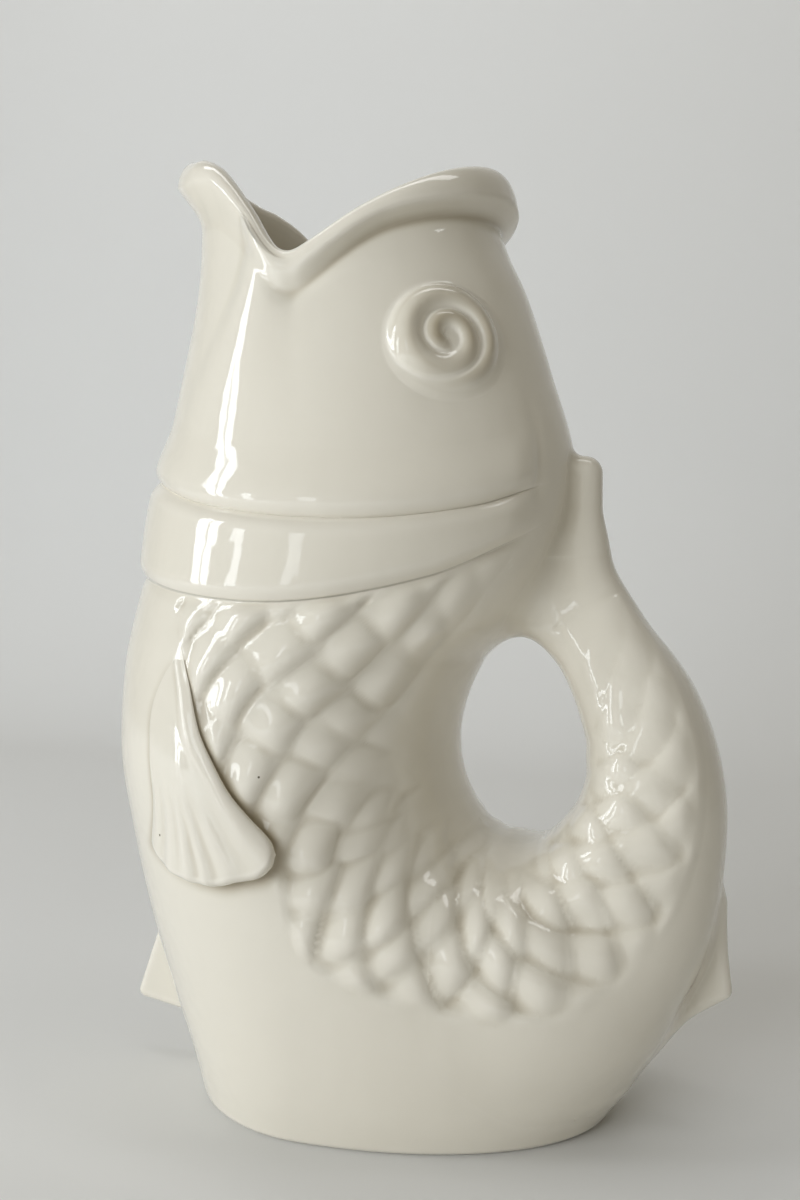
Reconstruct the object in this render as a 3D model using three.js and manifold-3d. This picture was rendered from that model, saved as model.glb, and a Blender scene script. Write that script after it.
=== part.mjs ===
// A fish-shaped pouring jug of glazed ceramic. The fish stands on its belly with its head up, its open
// mouth is the spout, and its hollow tail curls up behind it as the handle and joins the back of the neck.
// Millimetres, +Z up. The origin is on the underside of the foot. The front of the fish faces -X, the tail
// is on the +X side, and the fish is alike on both sides of the XZ plane. Its left side is the -Y side.

import * as THREE from "three";
import { mergeVertices } from "three/addons/utils/BufferGeometryUtils.js";
import Module from "manifold-3d";

const wasm = await Module();
wasm.setup();

// Driving dimensions: walls and joints

const WALL = 4; // fired wall of the hollow castings
const FLOOR = 5; // thickness of the floor
const LUTE = 0.3; // joint between two pieces that are stuck together with slip

// The belly, at its furthest forward and at its widest
const BELLY_FRONT = 75; // from the middle of the foot
const BELLY_HALF_WIDTH = 48.5;

// The skin of the body and head, at heights above the table: how far the front lies behind the front of the
// belly, where the fish is widest, where its back is, and how much narrower each half is than the belly.
const SKIN = [
  { z: 0, setBack: 22.5, widest: -15, back: 53.5, narrower: 12 },
  { z: 12, setBack: 19.5, widest: -14, back: 61.5, narrower: 8.5 },
  { z: 30, setBack: 13, widest: -13, back: 66, narrower: 5 },
  { z: 50, setBack: 7, widest: -15, back: 52, narrower: 2 },
  { z: 70, setBack: 3, widest: -22, back: 23, narrower: 0.5 },
  { z: 90, setBack: 0, widest: -27, back: 15, narrower: 0 },
  { z: 112, setBack: 0.5, widest: -23, back: 21.5, narrower: 1 },
  { z: 122, setBack: 2.2, widest: -19, back: 32.5, narrower: 2 },
  { z: 134, setBack: 5, widest: -15, back: 40, narrower: 3.5 },
  { z: 150, setBack: 7, widest: -11, back: 44.5, narrower: 5 },
  { z: 165, setBack: 10.5, widest: -10, back: 45.3, narrower: 7 },
  { z: 185, setBack: 15, widest: -10, back: 39.8, narrower: 10.5 },
  { z: 205, setBack: 19, widest: -11, back: 33.5, narrower: 14.5 },
  { z: 220, setBack: 20.5, widest: -13, back: 27.5, narrower: 16.5 },
  { z: 250, setBack: 20.5, widest: -15, back: 26, narrower: 17.5 },
];

// Places round the fish are given as across: -1 at the front, 0 at the widest place and 1 at the back.

// The two gill lines, as heights at places round the fish.
const UPPER_GILL_LINE = [
  { across: -1, z: 161 },
  { across: -0.45, z: 151 },
  { across: 0.2, z: 147 },
  { across: 0.7, z: 150 },
  { across: 1, z: 158 },
];
const LOWER_GILL_LINE = [
  { across: -1, z: 136 },
  { across: -0.45, z: 130 },
  { across: 0.1, z: 128.5 },
  { across: 0.6, z: 134 },
  { across: 0.85, z: 142 },
  { across: 1, z: 150 },
];
const HEAD_EDGE_PROUD = 1.6; // how far the lower edge of the head stands out
const HEAD_EDGE_HEIGHT = 11; // height over which that edge swells
const COLLAR_PROUD = 1.5; // how far the band between the gill lines swells

// The mouth: the height of its rim at places round the fish, from the tip of the front lip down to the
// notch at the corner of the mouth and up to the back lip.
const RIM = [
  { across: -1, z: 247 },
  { across: -0.82, z: 241 },
  { across: -0.6, z: 230.5 },
  { across: -0.35, z: 217 },
  { across: -0.16, z: 211 },
  { across: 0.02, z: 213 },
  { across: 0.3, z: 220 },
  { across: 0.65, z: 228 },
  { across: 1, z: 235.5 },
];
// The lips curl outwards: how far, and how far below the rim they begin to.
const LIP = [
  { across: -1, reach: 8.4, drop: 22 },
  { across: -0.6, reach: 5, drop: 20 },
  { across: -0.16, reach: 3, drop: 13 },
  { across: 1, reach: 3.4, drop: 15 },
];
const LIP_CURL_SHARE = 0.62; // part of the drop in which the lip curls out, above which it stands upright
const LIP_INNER_SHARE = 0.6; // part of the curl that the inside of the mouth follows
const RIM_ROUND = 2; // rounding of the rim's edge

// The upright tail fin, which ends the tail against the back of the neck
const TAIL_FIN_FOOT = 139; // height at which it begins
const TAIL_FIN_HEIGHT = 25;
const TAIL_FIN_REACH = 7.3; // how far its back edge stands behind the neck
const TAIL_FIN_WIDTH = 9; // its size across the plane of symmetry
const TAIL_FIN_ROUND = 3; // rounding of its top corner

// The tail: points up the middle of it, with half of its thickness in the plane of symmetry and half of
// its width across that plane. Its root is a little narrower than the belly that it grows out of.
const TAIL = [
  { x: 12, z: 36, thick: 28, wide: BELLY_HALF_WIDTH - 16.5 },
  { x: 40, z: 39, thick: 29.5, wide: BELLY_HALF_WIDTH - 13 },
  { x: 57.5, z: 55, thick: 23.5, wide: BELLY_HALF_WIDTH - 20.5 },
  { x: 64.8, z: 75, thick: 17.8, wide: 22.5 },
  { x: 64.8, z: 92, thick: 15.6, wide: 19 },
  { x: 59.8, z: 105.5, thick: 13.8, wide: 16.5 },
  { x: 53.3, z: 117, thick: 12.5, wide: 14 },
  { x: 45.8, z: 126, thick: 13.8, wide: 11 },
  { x: 44.3, z: TAIL_FIN_FOOT - 1.5, thick: 9.8, wide: 8 },
  { x: 44.3, z: TAIL_FIN_FOOT + 11, thick: 8, wide: 5 },
];
const TAIL_HOLLOW_END = 0.7; // share of the tail's stations at which its hollow ends

// The two fins in the plane of symmetry, low at the front and at the back
const FIN_EDGE = 4.4; // thickness of these fins
const FRONT_FIN_FOOT = 11; // height at which the front fin begins
const FRONT_FIN_HEIGHT = 36;
const FRONT_FIN_CORNER_RISE = 4; // of its outer corner above its foot
const FRONT_FIN_REACH = 22; // from the body to the outer corner
const REAR_FIN_FOOT = 0.14; // share of the tail's stations at which the rear fin begins
const REAR_FIN_CORNER = 0.213;
const REAR_FIN_TOP = 0.27;
const REAR_FIN_REACH = 10; // from the tail to the outer corner
const FIN_ROUND = 2.5; // rounding of the outer corners

// The pectoral fins lie on the sides of the belly and fan out downwards from their root.
const PECTORAL_ROOT = { x: -40, z: 112 };
const PECTORAL_FRONT = { x: -49.5, z: 66 }; // lower front corner
const PECTORAL_BACK = { x: -14.5, z: 71.5 }; // lower back corner
const PECTORAL_SAG = 5; // how far the lower edge bows below a straight line between the corners
const PECTORAL_ROOT_WIDTH = 4;
const PECTORAL_ROOT_RISE = 1.2; // how far the fin stands out at its root
const PECTORAL_EDGE_RISE = 4.6; // how far it stands out at its lower edge
const PECTORAL_RIBS = 5;
const PECTORAL_RIB_DEPTH = 0.9;

// The eyes: round bosses with a coil on them
const EYE_X = 21.8;
const EYE_Z = 187.8;
const EYE_RADIUS = 12.5;
const EYE_HEIGHT = 3; // crown of the boss above the head
const COIL_TURNS = 1.75;
const COIL_START = 1.6; // distance from the eye's middle at which the coil begins
const COIL_END = 8.8;
const COIL_RADIUS = 1.7; // of the round coil of clay
const COIL_LIFT = 0.5; // of the middle of the coil above the boss

// How finely the surfaces are divided
const ROUND_STEPS = 56;
const TAIL_ROUND_STEPS = 24;
const TAIL_STEPS = 22;
const HEAD_RINGS = 15;
const HEAD_INNER_RINGS = 7;
const BODY_RINGS = 16;
const BODY_INNER_RINGS = 9;
const COLLAR_RINGS = 6;
const COLLAR_INNER_RINGS = 2;
const CORNER_STEPS = 4;
const PECTORAL_ROWS = 9;
const PECTORAL_RIB_STEPS = 3;
const EYE_ROUND_STEPS = 22;
const EYE_CROWN_STEPS = 4;
const COIL_STEPS = 30;
const COIL_ROUND_STEPS = 3;
const SAME_POINT = 1e-4; // points closer than this are one point

const GLAZE = { color: 0xe6e0d2, roughness: 0.12, metalness: 0 };

// Numbers along a smooth curve

// The value of key at a place, on a smooth curve through the stations, which are in order of by.
function smoothValue(stations, by, key, place) {
  const last = stations.length - 1;
  const at = Math.min(Math.max(place, stations[0][by]), stations[last][by]);
  let i = 0;
  while (i < last - 1 && stations[i + 1][by] < at) i++;
  const slope = (k) => {
    const before = stations[Math.max(k - 1, 0)];
    const after = stations[Math.min(k + 1, last)];
    return (after[key] - before[key]) / (after[by] - before[by]);
  };
  const span = stations[i + 1][by] - stations[i][by];
  const t = (at - stations[i][by]) / span;
  const rise = t * t * (3 - 2 * t);
  return (
    stations[i][key] * (1 - rise) +
    stations[i + 1][key] * rise +
    slope(i) * span * t * (1 - t) * (1 - t) -
    slope(i + 1) * span * t * t * (1 - t)
  );
}

function smoothStep(t) {
  const inside = Math.min(Math.max(t, 0), 1);
  return inside * inside * (3 - 2 * inside);
}

// The skin of the fish

const frontAt = (z) => smoothValue(SKIN, "z", "setBack", z) - BELLY_FRONT;
const widestAt = (z) => smoothValue(SKIN, "z", "widest", z);
const backAt = (z) => smoothValue(SKIN, "z", "back", z);

// A place on the skin at an angle round the fish and a height, moved outwards by out.
function skinPoint(angle, z, out) {
  const across = Math.cos(angle);
  const widest = widestAt(z);
  const end = across < 0 ? frontAt(z) : backAt(z);
  const half = BELLY_HALF_WIDTH - smoothValue(SKIN, "z", "narrower", z);
  const reach = Math.abs(end - widest) + out;
  return new THREE.Vector3(widest + reach * across, (half + out) * Math.sin(angle), z);
}

// The angle on the left side (-Y) at which the skin has this x.
function leftAngle(x, z) {
  const widest = widestAt(z);
  const end = x < widest ? frontAt(z) : backAt(z);
  const across = (x - widest) / Math.abs(end - widest);
  return -Math.acos(Math.min(Math.max(across, -1), 1));
}

// A closed ring of points round the fish. heightAt and outAt give the height and how far out at an angle.
function skinRing(heightAt, outAt) {
  const ring = [];
  for (let i = 0; i < ROUND_STEPS; i++) {
    const angle = (2 * Math.PI * i) / ROUND_STEPS;
    const z = heightAt(angle);
    ring.push(skinPoint(angle, z, outAt(angle, z)));
  }
  return ring;
}

// A run of rings from one height to another. outAt also gets the share of the way, from 0 to 1.
function skinRings(count, fromAt, toAt, outAt) {
  const rings = [];
  for (let k = 0; k <= count; k++) {
    const share = k / count;
    const heightAt = (angle) => fromAt(angle) * (1 - share) + toAt(angle) * share;
    rings.push(skinRing(heightAt, (angle, z) => outAt(share, angle, z)));
  }
  return rings;
}

// Closed surfaces and solids

// The surface over a run of rings. A cyclic run closes on its first ring, and any other gets two end caps.
function loft(rings, cyclic) {
  const round = rings[0].length;
  const points = rings.flat();
  const faces = [];
  const band = (a, b) => {
    for (let i = 0; i < round; i++) {
      const j = (i + 1) % round;
      faces.push(a + i, a + j, b + i, a + j, b + j, b + i);
    }
  };
  for (let k = 0; k + 1 < rings.length; k++) band(k * round, (k + 1) * round);
  if (cyclic) {
    band((rings.length - 1) * round, 0);
  } else {
    const cap = (start, turned) => {
      const middle = new THREE.Vector3();
      for (let i = 0; i < round; i++) middle.addScaledVector(points[start + i], 1 / round);
      const centre = points.push(middle) - 1;
      for (let i = 0; i < round; i++) {
        const j = (i + 1) % round;
        faces.push(centre, start + (turned ? j : i), start + (turned ? i : j));
      }
    };
    cap(0, true);
    cap((rings.length - 1) * round, false);
  }
  return new THREE.BufferGeometry().setFromPoints(points).setIndex(faces);
}

function solidOf(geometry) {
  const plain = geometry.clone();
  plain.deleteAttribute("normal");
  plain.deleteAttribute("uv");
  const merged = mergeVertices(plain, SAME_POINT);
  const vertProperties = new Float32Array(merged.attributes.position.array);
  const triVerts = new Uint32Array(merged.index.array);
  return new wasm.Manifold(new wasm.Mesh({ numProp: 3, vertProperties, triVerts }));
}

function geometryOf(solid) {
  const mesh = solid.getMesh();
  const geometry = new THREE.BufferGeometry();
  geometry.setAttribute("position", new THREE.BufferAttribute(mesh.vertProperties, 3));
  geometry.setIndex(new THREE.BufferAttribute(mesh.triVerts, 1));
  return geometry;
}

// The main body of a cut solid, without the crumbs that a glancing cut can leave.
function mainBody(solid) {
  return solid.decompose().reduce((a, b) => (a.volume() > b.volume() ? a : b));
}

// The body, the collar and the head

const acrossAt = (angle) => Math.cos(angle);
const upperLine = (angle) => smoothValue(UPPER_GILL_LINE, "across", "z", acrossAt(angle));
const lowerLine = (angle) => smoothValue(LOWER_GILL_LINE, "across", "z", acrossAt(angle));
const rimLine = (angle) => smoothValue(RIM, "across", "z", acrossAt(angle));
const tableLine = () => 0;
const floorLine = () => FLOOR;

// How far the outside of the head stands off the skin: its swollen lower edge and its curled lips.
function headOut(angle, z) {
  const edge = 1 - (z - upperLine(angle)) / HEAD_EDGE_HEIGHT;
  return HEAD_EDGE_PROUD * smoothStep(edge) + lipOut(angle, z);
}

function lipOut(angle, z) {
  const across = acrossAt(angle);
  const drop = smoothValue(LIP, "across", "drop", across);
  const above = drop - (rimLine(angle) - z);
  return smoothValue(LIP, "across", "reach", across) * smoothStep(above / (drop * LIP_CURL_SHARE));
}

function collarOut(share) {
  return COLLAR_PROUD * Math.sin(Math.PI * share);
}

function bodyOutside(out) {
  return skinRings(BODY_RINGS, tableLine, lowerLine, () => out);
}

function collarOutside(out) {
  const from = (angle) => lowerLine(angle) + LUTE - out;
  const to = (angle) => upperLine(angle) + out;
  return skinRings(COLLAR_RINGS, from, to, (share) => collarOut(share) + out);
}

function headOutside(out) {
  const from = (angle) => upperLine(angle) + LUTE - out;
  const to = (angle) => rimLine(angle) - RIM_ROUND;
  return skinRings(HEAD_RINGS, from, to, (share, angle, z) => headOut(angle, z) + out);
}

function makeBody() {
  const inside = skinRings(BODY_INNER_RINGS, lowerLine, floorLine, () => -WALL);
  return solidOf(loft([...bodyOutside(0), ...inside], false));
}

function makeCollar() {
  const to = (angle) => lowerLine(angle) + LUTE;
  const inside = skinRings(COLLAR_INNER_RINGS, upperLine, to, () => -WALL);
  return solidOf(loft([...collarOutside(0), ...inside], true));
}

function makeHead() {
  const crest = skinRing(rimLine, (angle, z) => lipOut(angle, z) - WALL / 2);
  const from = (angle) => rimLine(angle) - RIM_ROUND;
  const to = (angle) => upperLine(angle) + LUTE;
  const insideOut = (share, angle, z) => LIP_INNER_SHARE * lipOut(angle, z) - WALL;
  const inside = skinRings(HEAD_INNER_RINGS, from, to, insideOut);
  return solidOf(loft([...headOutside(0), crest, ...inside], true));
}

// All that the body, the collar and the head fill, made larger by out, as a cutter for what is stuck on.
function fishBulk(out) {
  const body = solidOf(loft(bodyOutside(out), false));
  const collar = solidOf(loft(collarOutside(out), false));
  const head = solidOf(loft(headOutside(out), false));
  return body.add(collar).add(head);
}

// The tail

const tailLine = new THREE.CatmullRomCurve3(TAIL.map((p) => new THREE.Vector3(p.x, 0, p.z)));

// A ring round the tail at a share of its length, made larger by out.
function tailRing(share, out) {
  const middle = tailLine.getPoint(share);
  const ahead = tailLine.getTangent(share);
  const sideways = new THREE.Vector3(0, 1, 0);
  const outwards = new THREE.Vector3().crossVectors(sideways, ahead);
  const stations = TAIL.map((p, i) => ({ ...p, share: i / (TAIL.length - 1) }));
  const thick = smoothValue(stations, "share", "thick", share) + out;
  const wide = smoothValue(stations, "share", "wide", share) + out;
  const ring = [];
  for (let i = 0; i < TAIL_ROUND_STEPS; i++) {
    const angle = (2 * Math.PI * i) / TAIL_ROUND_STEPS;
    const point = middle.clone().addScaledVector(outwards, thick * Math.cos(angle));
    ring.push(point.addScaledVector(sideways, wide * Math.sin(angle)));
  }
  return ring;
}

function tailBulk(until, out) {
  const rings = [];
  for (let k = 0; k <= TAIL_STEPS; k++) rings.push(tailRing((until * k) / TAIL_STEPS, out));
  return solidOf(loft(rings, false));
}

// A flat plate in the plane of symmetry with this outline.
function plate(outline, thickness) {
  const shape = new THREE.Shape(outline.map((p) => new THREE.Vector2(p.x, p.z)));
  const flat = new THREE.ExtrudeGeometry(shape, { depth: thickness, bevelEnabled: false });
  flat.rotateX(Math.PI / 2);
  flat.translate(0, thickness / 2, 0);
  return solidOf(flat);
}

// The corner of an outline as a run of points on an arc-like curve that starts and ends size away from it.
function roundCorner(before, corner, after, size) {
  const place = (p) => new THREE.Vector2(p.x, p.z);
  const middle = place(corner);
  const start = place(before).sub(middle).setLength(size).add(middle);
  const end = place(after).sub(middle).setLength(size).add(middle);
  const curve = new THREE.QuadraticBezierCurve(start, middle, end);
  return curve.getPoints(CORNER_STEPS).map((p) => ({ x: p.x, z: p.y }));
}

// These fins are drawn as far in as the middle of the fish, and the bulk of the fish cuts them off.

function makeTailFin(bulk) {
  const topHeight = TAIL_FIN_FOOT + TAIL_FIN_HEIGHT;
  const back = Math.max(backAt(TAIL_FIN_FOOT), backAt(topHeight)) + TAIL_FIN_REACH;
  const foot = { x: back, z: TAIL_FIN_FOOT };
  const corner = { x: back, z: topHeight };
  const top = { x: widestAt(topHeight), z: topHeight };
  const footIn = { x: widestAt(topHeight), z: TAIL_FIN_FOOT };
  const outline = [footIn, foot, ...roundCorner(foot, corner, top, TAIL_FIN_ROUND), top];
  return mainBody(plate(outline, TAIL_FIN_WIDTH).subtract(bulk));
}

// The fins in the plane of symmetry

function makeFrontFin(bulk) {
  const topHeight = FRONT_FIN_FOOT + FRONT_FIN_HEIGHT;
  const cornerHeight = FRONT_FIN_FOOT + FRONT_FIN_CORNER_RISE;
  const top = { x: frontAt(topHeight), z: topHeight };
  const foot = { x: frontAt(FRONT_FIN_FOOT), z: FRONT_FIN_FOOT };
  const corner = { x: frontAt(cornerHeight) - FRONT_FIN_REACH, z: cornerHeight };
  const topIn = { x: widestAt(topHeight), z: topHeight };
  const footIn = { x: widestAt(FRONT_FIN_FOOT), z: FRONT_FIN_FOOT };
  const outline = [topIn, top, ...roundCorner(top, corner, foot, FIN_ROUND), foot, footIn];
  return mainBody(plate(outline, FIN_EDGE).subtract(bulk));
}

// A place in the plane of symmetry, out behind the back of the tail at a share of its stations.
function behindTail(share, out) {
  const place = tailRing(share, out)[0];
  return { x: place.x, z: place.z };
}

function makeRearFin(bulk) {
  const foot = behindTail(REAR_FIN_FOOT, 0);
  const top = behindTail(REAR_FIN_TOP, 0);
  const corner = behindTail(REAR_FIN_CORNER, REAR_FIN_REACH);
  const topIn = tailLine.getPoint(REAR_FIN_TOP);
  const footIn = tailLine.getPoint(REAR_FIN_FOOT);
  const outline = [topIn, footIn, foot, ...roundCorner(foot, corner, top, FIN_ROUND), top];
  return mainBody(plate(outline, FIN_EDGE).subtract(bulk));
}

// The pectoral fin of the left side, as a sheet laid on the skin

function makePectoralFin() {
  const columns = PECTORAL_RIB_STEPS * PECTORAL_RIBS;
  const mix = THREE.MathUtils.lerp;
  const place = (down, over) => {
    const sag = PECTORAL_SAG * down * Math.sin(Math.PI * over);
    const rootX = PECTORAL_ROOT.x + PECTORAL_ROOT_WIDTH * (over - 0.5);
    const edgeX = mix(PECTORAL_FRONT.x, PECTORAL_BACK.x, over);
    const edgeZ = mix(PECTORAL_FRONT.z, PECTORAL_BACK.z, over);
    return { x: mix(rootX, edgeX, down), z: mix(PECTORAL_ROOT.z, edgeZ, down) - sag };
  };
  const rise = (down, over) => {
    const rib = PECTORAL_RIB_DEPTH * down * (Math.abs(Math.sin(Math.PI * PECTORAL_RIBS * over)) - 1);
    return mix(PECTORAL_ROOT_RISE, PECTORAL_EDGE_RISE, down) + rib;
  };
  const rings = [];
  for (let row = 0; row <= PECTORAL_ROWS; row++) {
    const down = row / PECTORAL_ROWS;
    const front = [];
    const back = [];
    for (let column = 0; column <= columns; column++) {
      const over = column / columns;
      const { x, z } = place(down, over);
      const angle = leftAngle(x, z);
      front.push(skinPoint(angle, z, LUTE + rise(down, over)));
      back.push(skinPoint(angle, z, LUTE));
    }
    rings.push([...front, ...back.reverse()]);
  }
  return solidOf(loft(rings.reverse(), false));
}

// The left eye

function makeEye(bulk) {
  const angle = leftAngle(EYE_X, EYE_Z);
  const middle = skinPoint(angle, EYE_Z, 0);
  const nudge = 0.01;
  const along = skinPoint(angle + nudge, EYE_Z, 0).sub(middle);
  const up = skinPoint(angle, EYE_Z + nudge, 0).sub(middle);
  const outwards = new THREE.Vector3().crossVectors(along, up).normalize();

  const profile = [new THREE.Vector2(0, -EYE_RADIUS), new THREE.Vector2(EYE_RADIUS, -EYE_RADIUS)];
  for (let k = 0; k < EYE_CROWN_STEPS; k++) {
    const turn = (Math.PI / 2) * (k / EYE_CROWN_STEPS);
    profile.push(new THREE.Vector2(EYE_RADIUS * Math.cos(turn), EYE_HEIGHT * Math.sin(turn)));
  }
  profile.push(new THREE.Vector2(0, EYE_HEIGHT));
  const boss = new THREE.LatheGeometry(profile, EYE_ROUND_STEPS);

  const coilPoints = [];
  for (let k = 0; k <= COIL_STEPS; k++) {
    const turn = 2 * Math.PI * COIL_TURNS * (k / COIL_STEPS);
    const radius = THREE.MathUtils.lerp(COIL_START, COIL_END, k / COIL_STEPS);
    const level = EYE_HEIGHT * Math.sqrt(1 - (radius / EYE_RADIUS) ** 2) + COIL_LIFT;
    coilPoints.push(new THREE.Vector3(radius * Math.cos(turn), level, radius * Math.sin(turn)));
  }
  const section = new THREE.Shape().absarc(0, 0, COIL_RADIUS, 0, 2 * Math.PI);
  const coil = new THREE.ExtrudeGeometry(section, {
    extrudePath: new THREE.CatmullRomCurve3(coilPoints),
    steps: COIL_STEPS,
    curveSegments: COIL_ROUND_STEPS,
  });

  const turned = new THREE.Quaternion().setFromUnitVectors(new THREE.Vector3(0, 1, 0), outwards);
  const placed = new THREE.Matrix4().compose(middle, turned, new THREE.Vector3(1, 1, 1));
  const eye = solidOf(boss.applyMatrix4(placed)).add(solidOf(coil.applyMatrix4(placed)));
  return mainBody(eye.subtract(bulk));
}

// The whole jug

const clearBulk = fishBulk(LUTE);
const tailHollow = tailBulk(TAIL_HOLLOW_END, -WALL);
const wholeTail = tailBulk(1, 0);
const clearTail = tailBulk(1, LUTE);
const belowTailFin = wholeTail.trimByPlane([0, 0, -1], LUTE - TAIL_FIN_FOOT);
const tailHandle = mainBody(belowTailFin.subtract(clearBulk).subtract(tailHollow));
const pectoralFin = makePectoralFin();
const eye = makeEye(clearBulk);

const jug = new THREE.Group();
const mirroredPieces = new THREE.Group();
mirroredPieces.scale.y = -1;
jug.add(mirroredPieces);

function addPiece(name, solid, group = jug) {
  const mesh = new THREE.Mesh(geometryOf(solid), new THREE.MeshStandardMaterial(GLAZE));
  mesh.name = name;
  group.add(mesh);
}

addPiece("body_shell", mainBody(makeBody().subtract(tailHollow)));
addPiece("gill_collar", makeCollar());
addPiece("head_shell", makeHead());
addPiece("tail_handle", tailHandle);
addPiece("tail_fin", makeTailFin(clearBulk));
addPiece("front_fin", makeFrontFin(clearBulk));
addPiece("rear_fin", makeRearFin(clearBulk.add(clearTail)));
addPiece("left_pectoral_fin", pectoralFin);
addPiece("right_pectoral_fin", pectoralFin, mirroredPieces);
addPiece("left_eye", eye);
addPiece("right_eye", eye, mirroredPieces);

export default jug;
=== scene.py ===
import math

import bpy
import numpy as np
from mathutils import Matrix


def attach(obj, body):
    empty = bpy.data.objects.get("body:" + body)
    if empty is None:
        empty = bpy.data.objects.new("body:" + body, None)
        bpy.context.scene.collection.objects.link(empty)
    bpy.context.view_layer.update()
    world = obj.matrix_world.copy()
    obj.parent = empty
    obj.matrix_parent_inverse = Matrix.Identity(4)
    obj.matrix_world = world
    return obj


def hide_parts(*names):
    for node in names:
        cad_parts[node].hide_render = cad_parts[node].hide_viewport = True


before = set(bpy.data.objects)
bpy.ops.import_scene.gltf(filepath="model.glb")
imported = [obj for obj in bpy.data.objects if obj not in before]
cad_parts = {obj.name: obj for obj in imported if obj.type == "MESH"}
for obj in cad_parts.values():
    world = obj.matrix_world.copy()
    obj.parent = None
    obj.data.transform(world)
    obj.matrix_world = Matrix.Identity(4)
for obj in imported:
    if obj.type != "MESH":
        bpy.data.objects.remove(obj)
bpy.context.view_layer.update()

# A fish-shaped pouring jug of cream-glazed ceramic. The fish stands on its belly with its head up, its open
# mouth is the spout, and its tail curls up behind it as the handle. Shapes are worked out in millimetres in
# the frame of the solids: +Z up, the front of the fish towards -X, its left side towards -Y.

import openvdb
from mathutils import Vector

MM = 0.001
COARSE = 1

# Main sizes, close to those of the solids

WALL = 4
FLOOR = 5
# Height, front, widest place, back, half width
SKIN = np.array([
    (0, -52.5, -15, 53.5, 36.5),
    (12, -55.5, -14, 61.5, 40),
    (30, -62, -13, 66, 43.5),
    (50, -68, -15, 52, 46.5),
    (70, -72, -22, 23, 48),
    (90, -75, -27, 15, 48.5),
    (112, -74.5, -23, 21.5, 47.5),
    (122, -72.8, -19, 32.5, 46.5),
    (134, -70, -15, 40, 45),
    (150, -68, -11, 44.5, 43.5),
    (165, -64.5, -10, 45.3, 41.5),
    (185, -60, -10, 39.8, 38),
    (205, -56, -11, 33.5, 34),
    (220, -54.5, -13, 27.5, 32),
    (250, -54.5, -15, 26, 31),
])
# Places round the fish are given as across: -1 at the front, 0 at the widest place and 1 at the back.
# Across, height
UPPER_GILL_LINE = np.array([(-1, 161), (-0.45, 151), (0.2, 147), (0.7, 150), (1, 158)])
LOWER_GILL_LINE = np.array([(-1, 136), (-0.45, 130), (0.1, 128.5), (0.6, 134), (0.85, 142), (1, 150)])
RIM = np.array([
    (-1, 247), (-0.92, 244), (-0.84, 241.8), (-0.75, 240.2), (-0.6, 235.4), (-0.38, 224), (-0.22, 213.6),
    (-0.12, 211), (0, 212.6), (0.3, 220), (0.65, 228), (1, 235.5),
])
# Across, how far the lip curls out, how far below the rim it begins to, the share of that in which it curls
LIP = np.array([
    (-1, 8.4, 18.7, 0.82), (-0.8, 6, 18, 0.85), (-0.6, 3.4, 16, 0.9), (-0.35, 2.2, 13, 0.85),
    (-0.16, 2.4, 11, 0.7), (0.02, 3.2, 9, 0.55), (0.2, 3.7, 8, 0.5), (0.42, 4, 8, 0.5),
    (0.66, 4.3, 10, 0.42), (1, 4.4, 13.5, 0.4),
])
LIP_INNER_SHARE = 0.6
LIP_INNER_FADE = 14  # height in which the inner wall leaves the rim
HEAD_EDGE_PROUD = 1.8
HEAD_EDGE_HEIGHT = 12
COLLAR_PROUD = 1.7
# The tail: station, x, z, thickness to the outer side, thickness to the inner side, half width
TAIL = np.array([
    (0, 22, 43.4, 35.6, 19.5, 33),
    (1, 38.5, 47, 37, 20.8, 35),
    (2, 52.5, 58.4, 30.6, 17.2, 28),
    (3, 62.8, 76, 21, 15.5, 22.5),
    (4, 64.8, 92, 15.6, 15.6, 19),
    (5, 60.2, 105.5, 13.6, 14, 15.8),
    (6, 54.8, 116.8, 10.9, 13.6, 12),
    (7, 50.2, 127.5, 9, 16.5, 8.4),
    (8, 47.3, 138, 6.2, 12, 5.4),
    (9, 46.4, 150, 6.2, 8, 4.5),
])
TAIL_START = 24  # x in the belly where the tail begins
TAIL_END_ROUND = 8
TAIL_OVERLAP = 6  # how far the tail goes up into its fin
TAIL_FLATNESS = 2.4  # power of the tail's oval section: above 2 its sides are flatter than an ellipse's
TAIL_FIN_FOOT = 139
TAIL_FIN_TOP = 164
TAIL_FIN_BACK = 52.6
TAIL_FIN_WIDTH = 9
FIN_EDGE = 4.4
FRONT_FIN_REACH = 22
# x and z of the rear fin's corners
REAR_FIN_FOOT = (64.9, 21)
REAR_FIN_CORNER = (83.8, 33.4)
REAR_FIN_TOP = (81.2, 57)
REAR_FIN_ROOT = ((64, 58), (52, 36))
EYE_X = 20.5
EYE_Z = 188.4

# Sizes of the finer forms

EDGE_ROUND = 3.8  # rounding of the edges at the gill lines
GILL_GROOVE = 0.7  # depth of the gill lines below the skin
GILL_GROOVE_HALF = 2.2
SEAM_END = 0.8  # place round the fish where the gill lines begin to fade towards the back
SEAM_FADE = 0.14
TURN_UP_PLACE = 0.9
TURN_UP_HALF = 0.02
TURN_UP_DEPTH = 0.4
TURN_UP_FOOT = 150  # height where the crease begins, and its rise to full depth
TURN_UP_RISE = 5
TURN_UP_FADE = (160, 22)  # height where it begins to fade, and over how much
# Height, across, how far the ridge stands out, its half width
JAW_RIDGE = np.array([
    (155, -0.5, 0, 0.5), (170, -0.45, 0.5, 0.42), (190, -0.37, 1.3, 0.3),
    (208, -0.29, 2.1, 0.2), (225, -0.25, 2.3, 0.17), (247, -0.25, 2.3, 0.17),
])
LIP_GROOVE = 0.8  # depth of the line below the upper lip
LIP_GROOVE_HALF = 2.6
LIP_GROOVE_START = (-0.3, 0.2)  # across, and over how much it begins
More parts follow.
